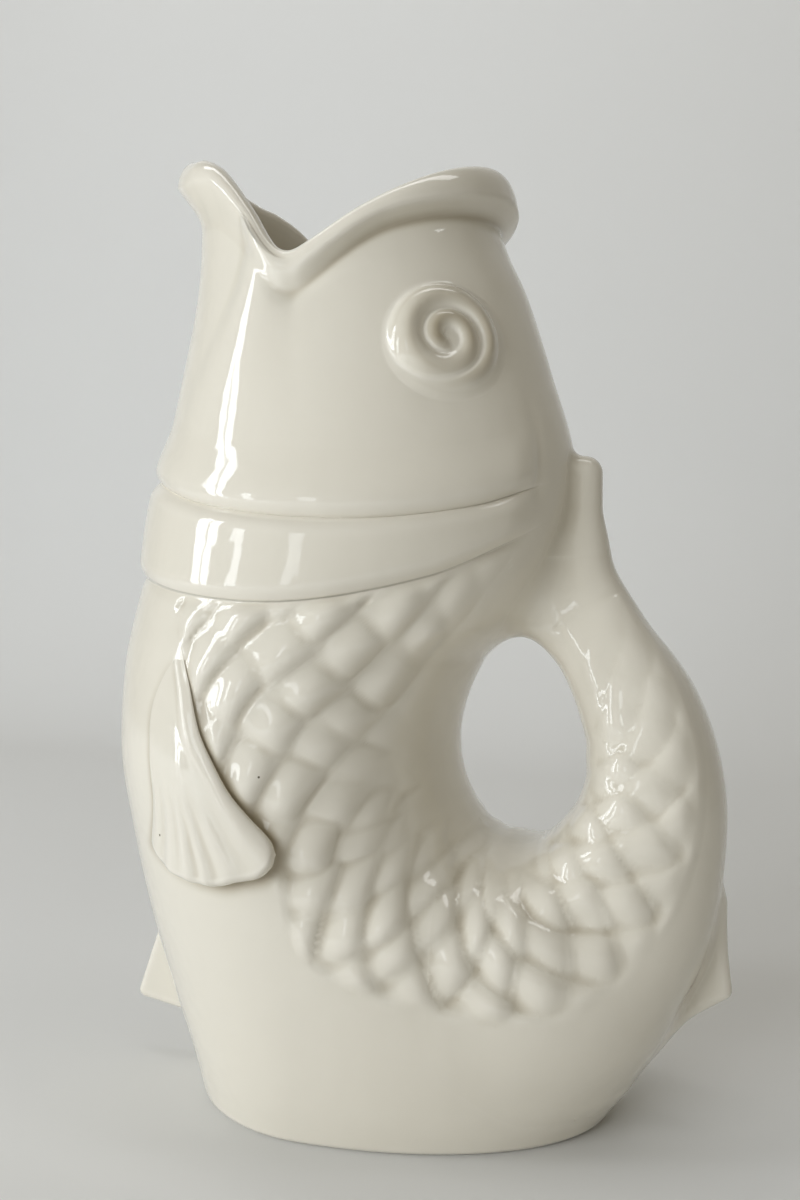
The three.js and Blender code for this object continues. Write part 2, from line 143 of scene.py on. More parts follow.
# The rolled rim: across, its rounding outwards, the height of that rounding
RIM_ROLL = np.array([
    (-1, 5, 7.5), (-0.8, 4.4, 6.5), (-0.6, 3, 4), (-0.38, 2.2, 3), (-0.12, 2, 2.8), (0.2, 2.7, 3.6),
    (0.45, 3, 4), (0.7, 3.5, 5.8), (1, 4, 8.5),
])
# Across, the rounding inwards
RIM_INNER_ROUND = np.array([(-1, 4), (-0.7, 3), (-0.3, 2), (1, 2.2)])
FOOT_ROUND = 2
FOOT_RING = 7  # width of the unglazed ring that the jug stands on
FOOT_HOLLOW = 1.2  # depth of the hollow inside that ring
FLOOR_FILLET = 6  # rounding between the inner wall and the floor
COLUMNS = 384 // COARSE
ROW_STEP = 0.66 * COARSE

# The scales lie along the spine of the fish, which bends from the head down the body and up the tail.
SPINE = [
    (-8, 165), (-13, 145), (-20, 125), (-26.5, 100), (-24, 76), (-10, 54), (12, 42), (36, 40.5),
    (54, 52), (63, 72), (64.8, 90), (60, 105.5), (53.3, 117), (45.8, 126), (44, 139),
]
# Along the spine: length of a scale and the height of its relief
SCALE_LENGTH = np.array([(0, 17.3), (75, 18.5), (120, 14.5), (160, 13.3), (220, 12), (285, 10.5)])
SCALE_RELIEF = np.array([
    (0, 2.1), (100, 2.1), (135, 1.8), (185, 1.8), (215, 1.1), (245, 0.5), (268, 0), (285, 0),
])
# Along the spine: width of a scale, and where a middle row of scales lies round the fish
SCALE_WIDTH = np.array([(0, 18), (190, 17.5), (230, 14), (260, 11.5), (285, 11)])
SCALE_ROW = np.array([(0, 2), (39, -4.4), (75, -12.4), (120, -15), (162, -15.5), (200, -15), (260, -10)])
SCALE_SLANT = np.array([(0, 0.36), (60, 0.36), (110, 0.02), (285, 0)])
SCALE_FIRST_TIP = 41  # place along the spine of the tips of one row
# Along the spine: how far the crest of a scale leans to its inner free edge, which faces the hole of the
# handle, and to its outer one
SCALE_LEAN = np.array([
    (0, 0.46, -0.1), (70, 0.46, 0), (110, 0.4, 0.24), (160, 0.36, 0.36), (285, 0.3, 0.3),
])
# Along the spine: softness of the hollows at the edges, how far a scale falls to its outer edge, and the
# share of the fall to its inner edge that is filled at the corners
SCALE_EDGES = np.array([
    (0, 0.42, 0.5, 0.4), (70, 0.45, 0.56, 0.4), (115, 0.68, 0.66, 0.15), (285, 0.75, 0.62, 0.1),
])
SCALE_FALL = 0.8  # how far a scale falls to its inner edge, as a share of the relief
SCALE_STRAY = 0.44  # how far the scales stray from even rows, as a share of half a scale
SCALE_LUCK = 0.4  # how much the heights of scales differ, as a share of the relief
SCALE_FALL_POWER = 2.2
SCALE_LEVEL = 0.6  # height of a scale that lies level with the smooth skin, as a share of the relief
SCALE_PHASE = 0.46  # shift of the rows along the spine, in scales
SCALE_WAVER = 0.05  # how far the rows waver, in scales
SCALE_FRONT_FADE = 5
SCALE_INNER_FADE = 24  # degrees
SCALE_COLLAR_FADE = 3.5
NECK_SMOOTH = (0.7, 0.22)  # across, and over how much, the scales end at the back of the neck
NECK_SMOOTH_FOOT = (84, 12)  # the same for the height
TAIL_SKIN = 0.4  # height of the scaled skin on the tail above the smooth skin beside it
TAIL_SKIN_START = (190, 20)  # places along the spine where it begins and ends, and over how much
TAIL_SKIN_END = (282, 25)
BODY_BACK = (34, 90)  # x behind which and z below which a point may be on the tail
BODY_SPINE_LENGTH = 130  # length of the spine that scales on the body are measured from
SPINE_PASSES = 60  # how often the lines of the spine and the tail are evened
TAIL_PASSES = 200
SCALE_TRACE = 0.2  # share of the relief that is left beyond the scaled skin, towards the hole
# Along the spine: where the scaled skin ends at the front and outer side
SCALE_FRONT = np.array([
    (0, 32), (42, 30), (52, 20), (62, 12), (78, 3), (95, -3), (108, -2), (123, 5), (145, 4.5),
    (158, 5), (170, 8), (184, 11), (206, 13), (228, 13.3), (262, 14.6), (285, 15),
])
# Along the spine: where it ends towards the hole of the handle, as a turn round the spine in degrees
SCALE_INNER_TURN = np.array([
    (0, -60), (120, -60), (150, -62), (180, -66), (202, -56), (212, -50), (226, -41), (250, -34),
    (285, -28),
])


# Numbers along smooth curves

def smooth_step(t):
    inside = np.clip(t, 0, 1)
    return inside * inside * (3 - 2 * inside)


# Rises from 0 at a start to 1, over a length.
def rising(value, start, over):
    return smooth_step((value - start) / over)


def smooth_value(table, column, place):
    places, values = table[:, 0], table[:, column]
    at = np.clip(place, places[0], places[-1])
    slopes = np.empty(len(values))
    slopes[1:-1] = (values[2:] - values[:-2]) / (places[2:] - places[:-2])
    slopes[0] = (values[1] - values[0]) / (places[1] - places[0])
    slopes[-1] = (values[-1] - values[-2]) / (places[-1] - places[-2])
    i = np.clip(np.searchsorted(places, at, side="right") - 1, 0, len(places) - 2)
    span = (places[1:] - places[:-1])[i]
    t = (at - places[i]) / span
    rise = t * t * (3 - 2 * t)
    ends = values[i] * (1 - rise) + values[i + 1] * rise
    return ends + span * t * (1 - t) * (slopes[i] * (1 - t) - slopes[i + 1] * t)


def unit(v):
    return v / np.maximum(np.linalg.norm(v, axis=-1, keepdims=True), 1e-12)


def smooth_min(a, b, size):
    overlap = np.maximum(size - np.abs(a - b), 0) / size
    return np.minimum(a, b) - overlap * overlap * size / 4


def smooth_max(a, b, size):
    return -smooth_min(-a, -b, size)


# Rises from 0 to 1 like a quarter of a circle over a distance, and stays 1.
def quarter_round(distance, size):
    t = np.clip(distance / size, 0, 1)
    return np.sqrt(1 - (1 - t) ** 2)


# A line in the plane of symmetry, sampled, with the nearest place on it to any point of that plane

class Line:
    def __init__(self, points):
        self.points = points
        steps = np.linalg.norm(np.diff(points, axis=0), axis=1)
        self.along = np.concatenate([[0], np.cumsum(steps)])
        ahead = np.gradient(points, axis=0)
        self.ahead = ahead / np.linalg.norm(ahead, axis=1)[:, None]
        self.bend = np.gradient(np.unwrap(np.arctan2(ahead[:, 1], ahead[:, 0])), self.along)

    def ahead_of(self, flat, sample):
        return ((flat - self.points[sample]) * self.ahead[sample]).sum(axis=1)

    def out_of(self, flat, sample):
        away, ahead = flat - self.points[sample], self.ahead[sample]
        return away[:, 0] * ahead[:, 1] - away[:, 1] * ahead[:, 0]

    # The place along the line, the distance to its outer side, and how much the line's bend stretches
    # lengths. A point lies square to the line at its place, between two samples.
    def place(self, x, z, last=None):
        x, z = np.broadcast_arrays(x, z)
        flat = np.stack([x.ravel(), z.ravel()], axis=1)
        points = self.points if last is None else self.points[:last]
        best = np.empty(len(flat), int)
        for start in range(0, len(flat), 8000):
            part = flat[start:start + 8000]
            best[start:start + 8000] = np.argmin((points ** 2).sum(1) - 2 * part @ points.T, axis=1)
        first = np.where(self.ahead_of(flat, best) > 0, best, best - 1)
        first = np.clip(first, 0, len(points) - 2)
        span = self.along[first + 1] - self.along[first]
        before = self.ahead_of(flat, first)
        forward = before / np.maximum((before - self.ahead_of(flat, first + 1)) / span, 0.15)
        share = np.clip(forward / span, 0, 1)
        outer = self.out_of(flat, first) * (1 - share) + self.out_of(flat, first + 1) * share
        place = self.along[first] + forward
        stretch = 1 + outer * np.interp(place, self.along, self.bend)
        return place.reshape(x.shape), outer.reshape(x.shape), stretch.reshape(x.shape)


def curve_through(points, per):
    stations = np.column_stack([np.arange(len(points)), points])
    at = np.linspace(0, len(points) - 1, per * (len(points) - 1) + 1)
    return np.column_stack([smooth_value(stations, 1, at), smooth_value(stations, 2, at)]), at


# Evens out the sudden changes of bend where the pieces of a curve meet.
def evened(points, passes):
    for _ in range(passes):
        points[1:-1] = (points[:-2] + 2 * points[1:-1] + points[2:]) / 4
    return points


spine_points, _ = curve_through(np.array(SPINE, float), 24)
spine_line = Line(evened(spine_points, SPINE_PASSES))
tail_points, tail_stations = curve_through(TAIL[:, 1:3], 40)
tail_line = Line(evened(tail_points, TAIL_PASSES))
spine_turns = np.concatenate([[0], np.cumsum(
    np.diff(spine_line.along) / smooth_value(SCALE_LENGTH, 1, spine_line.along[1:]))])
BODY_SPINE_END = int(np.searchsorted(spine_line.along, BODY_SPINE_LENGTH))


# The skin of the fish and what stands out of it

# The widest place of the fish at a height, and how far it reaches from there to its front and its back
def skin_section(z):
    front, widest, back = [smooth_value(SKIN, k, z) for k in (1, 2, 3)]
    return widest, np.abs(front - widest), np.abs(back - widest)


def skin_point(angle, z, out):
    across = np.cos(angle)
    widest, ahead, behind = skin_section(z)
    x = widest + (np.where(across < 0, ahead, behind) + out) * across
    y = (smooth_value(SKIN, 4, z) + out) * np.sin(angle)
    return np.stack(np.broadcast_arrays(x, y, z), axis=-1)


# How far a point lies outside the skin, measured level, and its angle round the fish
def skin_offset(x, y, z):
    widest, ahead, behind = skin_section(z)
    reach, half = np.where(x < widest, ahead, behind), smooth_value(SKIN, 4, z)
    lowest = -0.9 * np.minimum(reach, half)
    out = np.maximum((np.hypot((x - widest) / reach, y / half) - 1) * np.minimum(reach, half), lowest)
    for _ in range(4):
        p, q = (x - widest) / (reach + out), y / (half + out)
        size = np.hypot(p, q)
        out = np.maximum(out + (size - 1) * size / (p * p / (reach + out) + q * q / (half + out)), lowest)
    return out, np.arctan2(y / (half + out), (x - widest) / (reach + out))


def lip_out(across, z):
    drop = smooth_value(LIP, 2, across)
    above = drop - (smooth_value(RIM, 1, across) - z)
    curl = smooth_value(LIP, 1, across) * smooth_step(above / (drop * smooth_value(LIP, 3, across)))
    groove = LIP_GROOVE * np.exp(-(above / LIP_GROOVE_HALF) ** 2)
    return curl - groove * rising(across, *LIP_GROOVE_START)


# The ridge that runs down from the corner of the mouth
def jaw_ridge(across, z):
    share = (across - smooth_value(JAW_RIDGE, 1, z)) / smooth_value(JAW_RIDGE, 3, z)
    return smooth_value(JAW_RIDGE, 2, z) * np.clip(1 - share * share, 0, 1) ** 2


# The crease that turns up from the end of the upper gill line
def turned_up_crease(across, z):
    share = (across - TURN_UP_PLACE) / TURN_UP_HALF
    fade = rising(z, TURN_UP_FOOT, TURN_UP_RISE) * (1 - rising(z, *TURN_UP_FADE))
    return TURN_UP_DEPTH * np.exp(-share * share) * fade


# How far the gill edges, the collar and the lips stand off the skin
def outside(across, z):
    above_lower = z - smooth_value(LOWER_GILL_LINE, 1, across)
    above_upper = z - smooth_value(UPPER_GILL_LINE, 1, across)
    fall = 1 - rising(above_upper, EDGE_ROUND, HEAD_EDGE_HEIGHT)
    head = HEAD_EDGE_PROUD * quarter_round(above_upper, EDGE_ROUND) * fall
    collar = COLLAR_PROUD * quarter_round(above_lower, EDGE_ROUND) * quarter_round(-above_upper, EDGE_ROUND)
    swell = np.where(above_upper >= 0, head, np.where(above_lower > 0, collar, 0))
    groove = np.exp(-(above_lower / GILL_GROOVE_HALF) ** 2) + np.exp(-(above_upper / GILL_GROOVE_HALF) ** 2)
    seams = (swell - GILL_GROOVE * groove) * (1 - rising(across, SEAM_END, SEAM_FADE))
    return seams + lip_out(across, z) + jaw_ridge(across, z) - turned_up_crease(across, z)


# Relief of the scales

# A number from 0 to 1 that is fixed for each scale and differs between scales.
def own_number(i, j):
    return np.modf(np.abs(np.sin(i * 12.9898 + j * 78.233)) * 4375.85)[0]


# Height of the scales. Each is a soft dome round a place where both numbers are whole, and its crest leans
# to its free edges, which lie where the numbers are half more.
def scale_height(inner, outer, inner_lean, outer_lean, soft, outer_fall, corner_fill):
    rows = []
    for i in (np.floor(inner), np.floor(inner) + 1):
        pair = []
        for j in (np.floor(outer), np.floor(outer) + 1):
            u = 2 * (inner - i) + SCALE_STRAY * (own_number(j, i) - 0.5)
            v = 2 * (outer - j) + SCALE_STRAY * (own_number(i + j, j) - 0.5)
            u = u - inner_lean * np.maximum(1 - u * u, 0)
            v = v - outer_lean * np.maximum(1 - v * v, 0)
            fall = SCALE_FALL * np.abs(u) ** SCALE_FALL_POWER * (1 - corner_fill * np.minimum(v * v, 1))
            dome = 1 - fall - outer_fall * v * v
            pair.append(dome + SCALE_LUCK * (own_number(i, j) - 0.5) * np.maximum(dome, 0))
        rows.append(smooth_max(*pair, soft))
    return smooth_max(*rows, soft)


def scale_relief(x, y, z):
    on_body = (x < BODY_BACK[0]) & (z > BODY_BACK[1])
    anywhere, body_only = spine_line.place(x, z), spine_line.place(x, z, BODY_SPINE_END)
    s, n, stretch = [np.where(on_body, b, a) for a, b in zip(anywhere, body_only)]
    turn = np.arctan2(n, np.abs(y))
    v = np.hypot(n, y) * turn
    slanted = s - smooth_value(SCALE_SLANT, 1, s) * v
    along = np.interp(slanted, spine_line.along, spine_turns)
    along = along - np.interp(SCALE_FIRST_TIP, spine_line.along, spine_turns) + SCALE_PHASE
    over = (v - smooth_value(SCALE_ROW, 1, s)) / smooth_value(SCALE_WIDTH, 1, s)
    waver = SCALE_WAVER * np.sin(2.3 * over + 0.9 * along)
    over = over + SCALE_WAVER * np.sin(2.9 * along + over)
    along = along + waver
    shape = [smooth_value(SCALE_LEAN, k, s) for k in (1, 2)]
    shape += [smooth_value(SCALE_EDGES, k, s) for k in (1, 2, 3)]
    height = scale_height(along - over, along + over, *shape) - SCALE_LEVEL
    to_front = smooth_value(SCALE_FRONT, 1, s) - v
    to_inner = np.degrees(turn) - smooth_value(SCALE_INNER_TURN, 1, s)
    inner_fade = SCALE_TRACE + (1 - SCALE_TRACE) * smooth_step(to_inner / SCALE_INNER_FADE + 0.45)
    even = np.clip(1.2 * stretch, 0, 1) * rising(stretch, 0.3, 0.3)
    mask = smooth_step(to_front / SCALE_FRONT_FADE) * inner_fade * even
    begun = rising(s, *TAIL_SKIN_START)
    not_ended = smooth_step((TAIL_SKIN_END[0] - s) / TAIL_SKIN_END[1])
    tail_skin = TAIL_SKIN * begun * not_ended
    step = tail_skin * smooth_step(to_front / 3 + 0.5) * smooth_step(to_inner / 14) * even
    return smooth_value(SCALE_RELIEF, 1, s) * height * mask + step


# Relief of the scales on the body, which they leave before the collar and the back of the neck
def body_relief(across, x, y, z):
    to_collar = smooth_value(LOWER_GILL_LINE, 1, across) - z
    back = 1 - rising(across, *NECK_SMOOTH) * rising(z, *NECK_SMOOTH_FOOT)
    relief = np.zeros(np.broadcast(x, y, z).shape)
    below = np.broadcast_to(to_collar > 0, relief.shape)
    if below.any():
        x, y, z = [np.broadcast_to(v, relief.shape)[below] for v in (x, y, z)]
        relief[below] = scale_relief(x, y, z)
    return relief * smooth_step(to_collar / SCALE_COLLAR_FADE) * back


def vessel_point(angle, z):
    across = np.cos(angle)
    level = outside(across, z)
    point = skin_point(angle, z, level)
    relief = 0
    for share in (1, 0.7, 0.7, 0.7, 0.7, 0.7):
        found = body_relief(across, *np.moveaxis(point, -1, 0))
        relief = relief + share * (found - relief)
        point = skin_point(angle, z, level + relief)
    return point


# Distance of points from the outside of the body, collar and head, below 0 inside
def vessel_field(x, y, z):
    out, angle = skin_offset(x, y, z)
    steep = skin_offset(x, y, z + 0.5)[0] - skin_offset(x, y, z - 0.5)[0]
    across = np.cos(angle)
    level = outside(across, z) + body_relief(across, x, y, z)
    return (out - level) / np.sqrt(1 + steep * steep)


def vessel_normal(points):
    slope = np.empty_like(points)
    for axis, nudge in enumerate(0.1 * np.eye(3)):
        after, before = [vessel_field(*np.moveaxis(p, -1, 0)) for p in (points + nudge, points - nudge)]
        slope[..., axis] = after - before
    return unit(slope)


# Distance of points from the tail, the tail fin and the rear fin

def tail_field(x, y, z):
    along, outer, _ = tail_line.place(x, z)
    station = np.interp(along, tail_line.along, tail_stations)
    thick = np.where(outer > 0, smooth_value(TAIL, 3, station), smooth_value(TAIL, 4, station))
    wide = smooth_value(TAIL, 5, station)
    a, b = np.abs(outer) / thick, np.abs(y) / wide
    size = np.maximum((a ** TAIL_FLATNESS + b ** TAIL_FLATNESS) ** (1 / TAIL_FLATNESS), 1e-6)
    steep = np.hypot((a / size) ** (TAIL_FLATNESS - 1) / thick, (b / size) ** (TAIL_FLATNESS - 1) / wide)
    side = (size - 1) / np.maximum(steep, 1 / (2 * wide)) - scale_relief(x, y, z)
    top = smooth_max(side, z - TAIL_FIN_FOOT - TAIL_OVERLAP, TAIL_END_ROUND)
    return smooth_max(top, TAIL_START - x, TAIL_END_ROUND)


# Distance of points of the plane of symmetry from a closed outline, below 0 inside
def outline_field(outline, x, z):
    x, z = np.broadcast_arrays(x, z)
    nearest = np.full(x.shape, 1e9)
    inside = np.zeros(x.shape, bool)
    for (ax, az), (bx, bz) in zip(outline, outline[1:] + outline[:1]):
        ex, ez = bx - ax, bz - az
        t = np.clip(((x - ax) * ex + (z - az) * ez) / (ex * ex + ez * ez), 0, 1)
        nearest = np.minimum(nearest, np.hypot(x - ax - t * ex, z - az - t * ez))
        crosses = (az > z) != (bz > z)
        inside ^= crosses & (x < ax + ex * (z - az) / (ez if ez else 1e-9))
    return np.where(inside, -nearest, nearest)


def drawn_in(outline, size):
    place = np.array(outline, float)
    before, after = np.roll(place, 1, axis=0), np.roll(place, -1, axis=0)
    first, second = unit(place - before), unit(after - place)
    normal = unit(np.column_stack([-first[:, 1] - second[:, 1], first[:, 0] + second[:, 0]]))
    turn = np.sum(normal * np.column_stack([-first[:, 1], first[:, 0]]), axis=1)
    area = np.sum(before[:, 0] * place[:, 1] - place[:, 0] * before[:, 1])
    moved = place + normal * (np.sign(area) * size / np.maximum(turn, 0.4))[:, None]
    return [tuple(p) for p in moved]


# Meshes

# A run of rows of points as triangles. Closed rows go round and meet themselves.
def grid_faces(rows, columns, closed=True):
    row, column = np.meshgrid(np.arange(rows - 1), np.arange(columns - (not closed)), indexing="ij")
    a = (row * columns + column).ravel()
    b = (row * columns + (column + 1) % columns).ravel()
    c, d = b + columns, a + columns
    return np.concatenate([np.column_stack([a, b, c]), np.column_stack([a, c, d])])


def grid_normals(points):
    round_way = np.roll(points, -1, axis=1) - np.roll(points, 1, axis=1)
    normals = np.cross(round_way, np.gradient(points, axis=0))
    lengths = np.linalg.norm(normals, axis=-1, keepdims=True)
    mean = unit(normals.sum(axis=1, keepdims=True))
    return np.where(lengths > 1e-9, unit(normals), mean)


# A surface is its points, its triangles and a normal for each corner of each triangle, turned outwards.
def surface(points, faces, normals):
    points, normals = points.reshape(-1, 3), normals.reshape(-1, 3)
    corners = points[faces]
    flat = np.cross(corners[:, 1] - corners[:, 0], corners[:, 2] - corners[:, 0])
    if np.sum(flat * normals[faces].sum(axis=1)) < 0:
        faces = faces[:, ::-1]
    return points, faces, normals[faces]


def rows_surface(points, normals):
    return surface(points, grid_faces(*points.shape[:2]), normals)


def flat_surface(points, faces):
    corners = points[faces]
    flat = unit(np.cross(corners[:, 1] - corners[:, 0], corners[:, 2] - corners[:, 0]))
    return points, faces, np.repeat(flat[:, None, :], 3, axis=1)


MIRROR = np.array([1, -1, 1])  # to the other side of the plane of symmetry


def mirrored(surfaces):
    return [(p * MIRROR, f[:, ::-1], n[:, ::-1] * MIRROR) for p, f, n in surfaces]


# The first of each set of points that coincide, and the set that each point is in
def same_points(points):
    _, first, where = np.unique(np.round(points * 1e4), axis=0, return_index=True, return_inverse=True)
    return first, where.ravel()


# The edges of triangles, and which of them belong to one triangle alone
def edges_of(faces):
    edges = faces[:, [0, 1, 1, 2, 2, 0]].reshape(-1, 2)
    _, where, uses = np.unique(np.sort(edges, axis=1), axis=0, return_inverse=True, return_counts=True)
    return edges, uses[where.ravel()] == 1


# Cuts a surface along the line where level is 0 and keeps the side where it is above 0.
def clipped(points, faces, normals, level):
    inside = level > 0
    count = inside[faces].sum(axis=1)
    kept = [faces[count == 3]]
    extra_points, extra_normals = [], []
    total = len(points)
    for wanted in (1, 2):
        cut = faces[count == wanted]
        odd = np.argmax(inside[cut] == (wanted == 1), axis=1)
        cut = np.take_along_axis(cut, (odd[:, None] + np.arange(3)) % 3, axis=1)
        edges = np.sort(np.concatenate([cut[:, [0, 1]], cut[:, [0, 2]]]), axis=1)
        edges, where = np.unique(edges, axis=0, return_inverse=True)
        where = where.ravel() + total
        share = (level[edges[:, 0]] / (level[edges[:, 0]] - level[edges[:, 1]]))[:, None]
        extra_points.append(points[edges[:, 0]] * (1 - share) + points[edges[:, 1]] * share)
        extra_normals.append(unit(normals[edges[:, 0]] * (1 - share) + normals[edges[:, 1]] * share))
        total += len(edges)
        first, second = where[:len(cut)], where[len(cut):]
        if wanted == 1:
            kept.append(np.column_stack([cut[:, 0], first, second]))
        else:
            kept.append(np.column_stack([first, cut[:, 1], cut[:, 2]]))
            kept.append(np.column_stack([first, cut[:, 2], second]))
    points = np.concatenate([points] + extra_points)
    normals = np.concatenate([normals] + extra_normals)
    used, faces = np.unique(np.concatenate(kept), return_inverse=True)
    return points[used], faces.reshape(-1, 3), normals[used]


# A closed solid from an open surface: the surface, the same surface set in by a depth, and the wall between
def thickened(points, faces, normals, depth):
    outer = surface(points, faces, normals)
    faces = outer[1]
    inner_points = points - depth * normals
    inner = (inner_points, faces[:, ::-1], -normals[faces[:, ::-1]])
    edges, on_rim = edges_of(faces)
    a, b = edges[on_rim].T
    c, d = a + len(points), b + len(points)
    walls = np.concatenate([np.column_stack([b, a, c]), np.column_stack([b, c, d])])
    return [outer, inner, flat_surface(np.concatenate([points, inner_points]), walls)]


LATTICE_RATIO = 4  # step of the coarse lattice, in fine steps


# A field on a lattice of points. Away from the surface a coarse lattice is enough.
def sampled(field, low, high, step):
    far = LATTICE_RATIO * step
    axes = [np.arange(a, b + far, far) for a, b in zip(low, high)]
    coarse = field(axes[0][:, None, None], axes[1][None, :, None], axes[2][None, None, :])
    both = [coarse, np.abs(coarse) < 2.4 * far]
    for axis in range(3):
        both = [np.repeat(v, LATTICE_RATIO, axis=axis) for v in both]
    values, close = [v[(slice(1 - LATTICE_RATIO),) * 3] for v in both]
    where = np.nonzero(close)
    values[where] = field(*[start + step * index for start, index in zip(low, where)])
    return values


# The surface where a field is 0, cut to where keep is above 0
def field_surface(field, keep, low, high, step):
    values = sampled(field, low, high, step)
    volume = openvdb.FloatGrid(float(values.max()))
    volume.copyFromArray(values.astype(np.float32))
    points, triangles, quads = volume.convertToPolygons(isovalue=0.0)
    faces = np.concatenate([triangles, quads[:, [0, 1, 2]], quads[:, [0, 2, 3]]]).astype(np.int64)
    margin = np.minimum(points, np.array(values.shape) - 1 - points).min(axis=1)
    faces = faces[(margin[faces] > 1.6).all(axis=1)]
    used, faces = np.unique(faces, return_inverse=True)
    points, faces = points[used].astype(float) * step + np.array(low), faces.reshape(-1, 3)
    for _ in range(3):
        value, slope = value_and_slope(field, points)
        move = value / np.maximum((slope ** 2).sum(axis=1), 0.2)
        points = points - slope * np.clip(move, -step, step)[:, None]
    normals = unit(value_and_slope(field, points)[1])
    return clipped(points, faces, normals, keep(*points.T))


def value_and_slope(field, points):
    nudge = 0.05
    value = field(*points.T)
    slope = np.empty_like(points)
    for axis in range(3):
        moved = points.copy()
        moved[:, axis] += nudge
        slope[:, axis] = (field(*moved.T) - value) / nudge
    return value, slope


FULL_BEND = 0.18  # bend of a surface, per mm, that counts as a full crest or crease


# How hollow the surface is at each point, from -1 on a crest to 1 in a crease
def hollowness(points, faces, normals):
    edges, on_border = edges_of(faces)
    border = np.unique(edges[on_border])
    start, end = np.concatenate([edges, edges[:, ::-1]]).T
    count = np.maximum(np.bincount(start, minlength=len(points)), 1)
    way = points[end] - points[start]
    rise, span = (way * normals[start]).sum(axis=1), (way ** 2).sum(axis=1)
    bend = np.bincount(start, rise / np.maximum(span, 0.01), len(points)) / count
    for _ in range(3):
        bend[border] = 0
        bend = 0.5 * bend + 0.5 * np.bincount(start, bend[end], len(points)) / count
    return np.clip(bend / FULL_BEND, -1, 1)


def add_object(name, data):
    made = bpy.data.objects.new(name, data)
    bpy.context.collection.objects.link(made)
    return made


def set_numbers(mesh, name, numbers):
    mesh.attributes.new(name, "FLOAT", "POINT").data.foreach_set("value", numbers.astype(np.float32))


# A piece from surfaces, the first of which is its outside. Bare says where the glaze is missing, and the
# last argument gives painted shade, with some thicker glaze, that darkens it further.
def add_piece(name, surfaces, bare=None, pooled_and_shaded=None):
    starts = np.cumsum([0] + [len(s[0]) for s in surfaces])
    faces = np.concatenate([s[1] + start for s, start in zip(surfaces, starts)])
    points, corners = [np.concatenate([s[k] for s in surfaces]) for k in (0, 2)]
    first, where = same_points(points)
    points, faces = points[first], where[faces]
    whole = (faces != np.roll(faces, 1, axis=1)).all(axis=1)
    outside_count = np.count_nonzero(whole[:len(surfaces[0][1])])
    faces, corners = faces[whole], corners[whole]
    mesh = bpy.data.meshes.new(name)
    mesh.vertices.add(len(points))
    mesh.vertices.foreach_set("co", (points * MM).astype(np.float32).ravel())
    mesh.loops.add(3 * len(faces))
    mesh.loops.foreach_set("vertex_index", faces.astype(np.int32).ravel())
    mesh.polygons.add(len(faces))
    mesh.polygons.foreach_set("loop_start", np.arange(0, 3 * len(faces), 3, dtype=np.int32))
    mesh.polygons.foreach_set("use_smooth", np.ones(len(faces), bool))
    mesh.update(calc_edges=True)
    mesh.normals_split_custom_set(corners.reshape(-1, 3).astype(np.float32))
    sums = [np.bincount(faces.ravel(), corners[..., k].ravel(), len(points)) for k in range(3)]
    hollow = hollowness(points, faces[:outside_count], unit(np.stack(sums, axis=1)))
    # Painted shade is added to the darkening of the hollows.
    if pooled_and_shaded is not None:
        hollow = hollow + pooled_and_shaded(points) * (1 - hollow)
    set_numbers(mesh, "hollow", hollow)
    set_numbers(mesh, "bare", np.zeros(len(points)) if bare is None else bare(points))
    mesh.materials.append(glaze)
    piece = add_object(name, mesh)
    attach(piece, "root")
    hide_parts(name)


# The glaze

GLAZE = (0.80, 0.76, 0.665, 1)
THIN_GLAZE = (0.83, 0.79, 0.70, 1)
# Darkest glaze, in the deepest creases: thicker glaze with painted shade
POOLED_GLAZE_AND_SHADE = (0.50, 0.44, 0.33, 1)
CLOUD_TINT = (0.97, 0.955, 0.93, 1)
PINHOLE = (0.16, 0.13, 0.09, 1)
CLAY = (0.70, 0.64, 0.54, 1)


# Sets inputs of a node by name, to numbers, colours or the outputs of other nodes.
def set_inputs(tree, made, inputs):
    for key, value in inputs.items():
        if isinstance(value, bpy.types.NodeSocket):
            tree.links.new(value, made.inputs[key])
        else:
            made.inputs[key].default_value = value


def node(tree, kind, inputs=None, **settings):
    made = tree.nodes.new(kind)
    for key, value in settings.items():
        setattr(made, key, value)
    set_inputs(tree, made, inputs or {})
    return made


def mix(tree, factor, first, second, **settings):
    inputs = {"Factor": factor, "A": first, "B": second}
    return node(tree, "ShaderNodeMix", inputs, data_type="RGBA", **settings).outputs["Result"]


def maths(tree, operation, first, second):
    return node(tree, "ShaderNodeMath", {0: first, 1: second}, operation=operation).outputs["Value"]


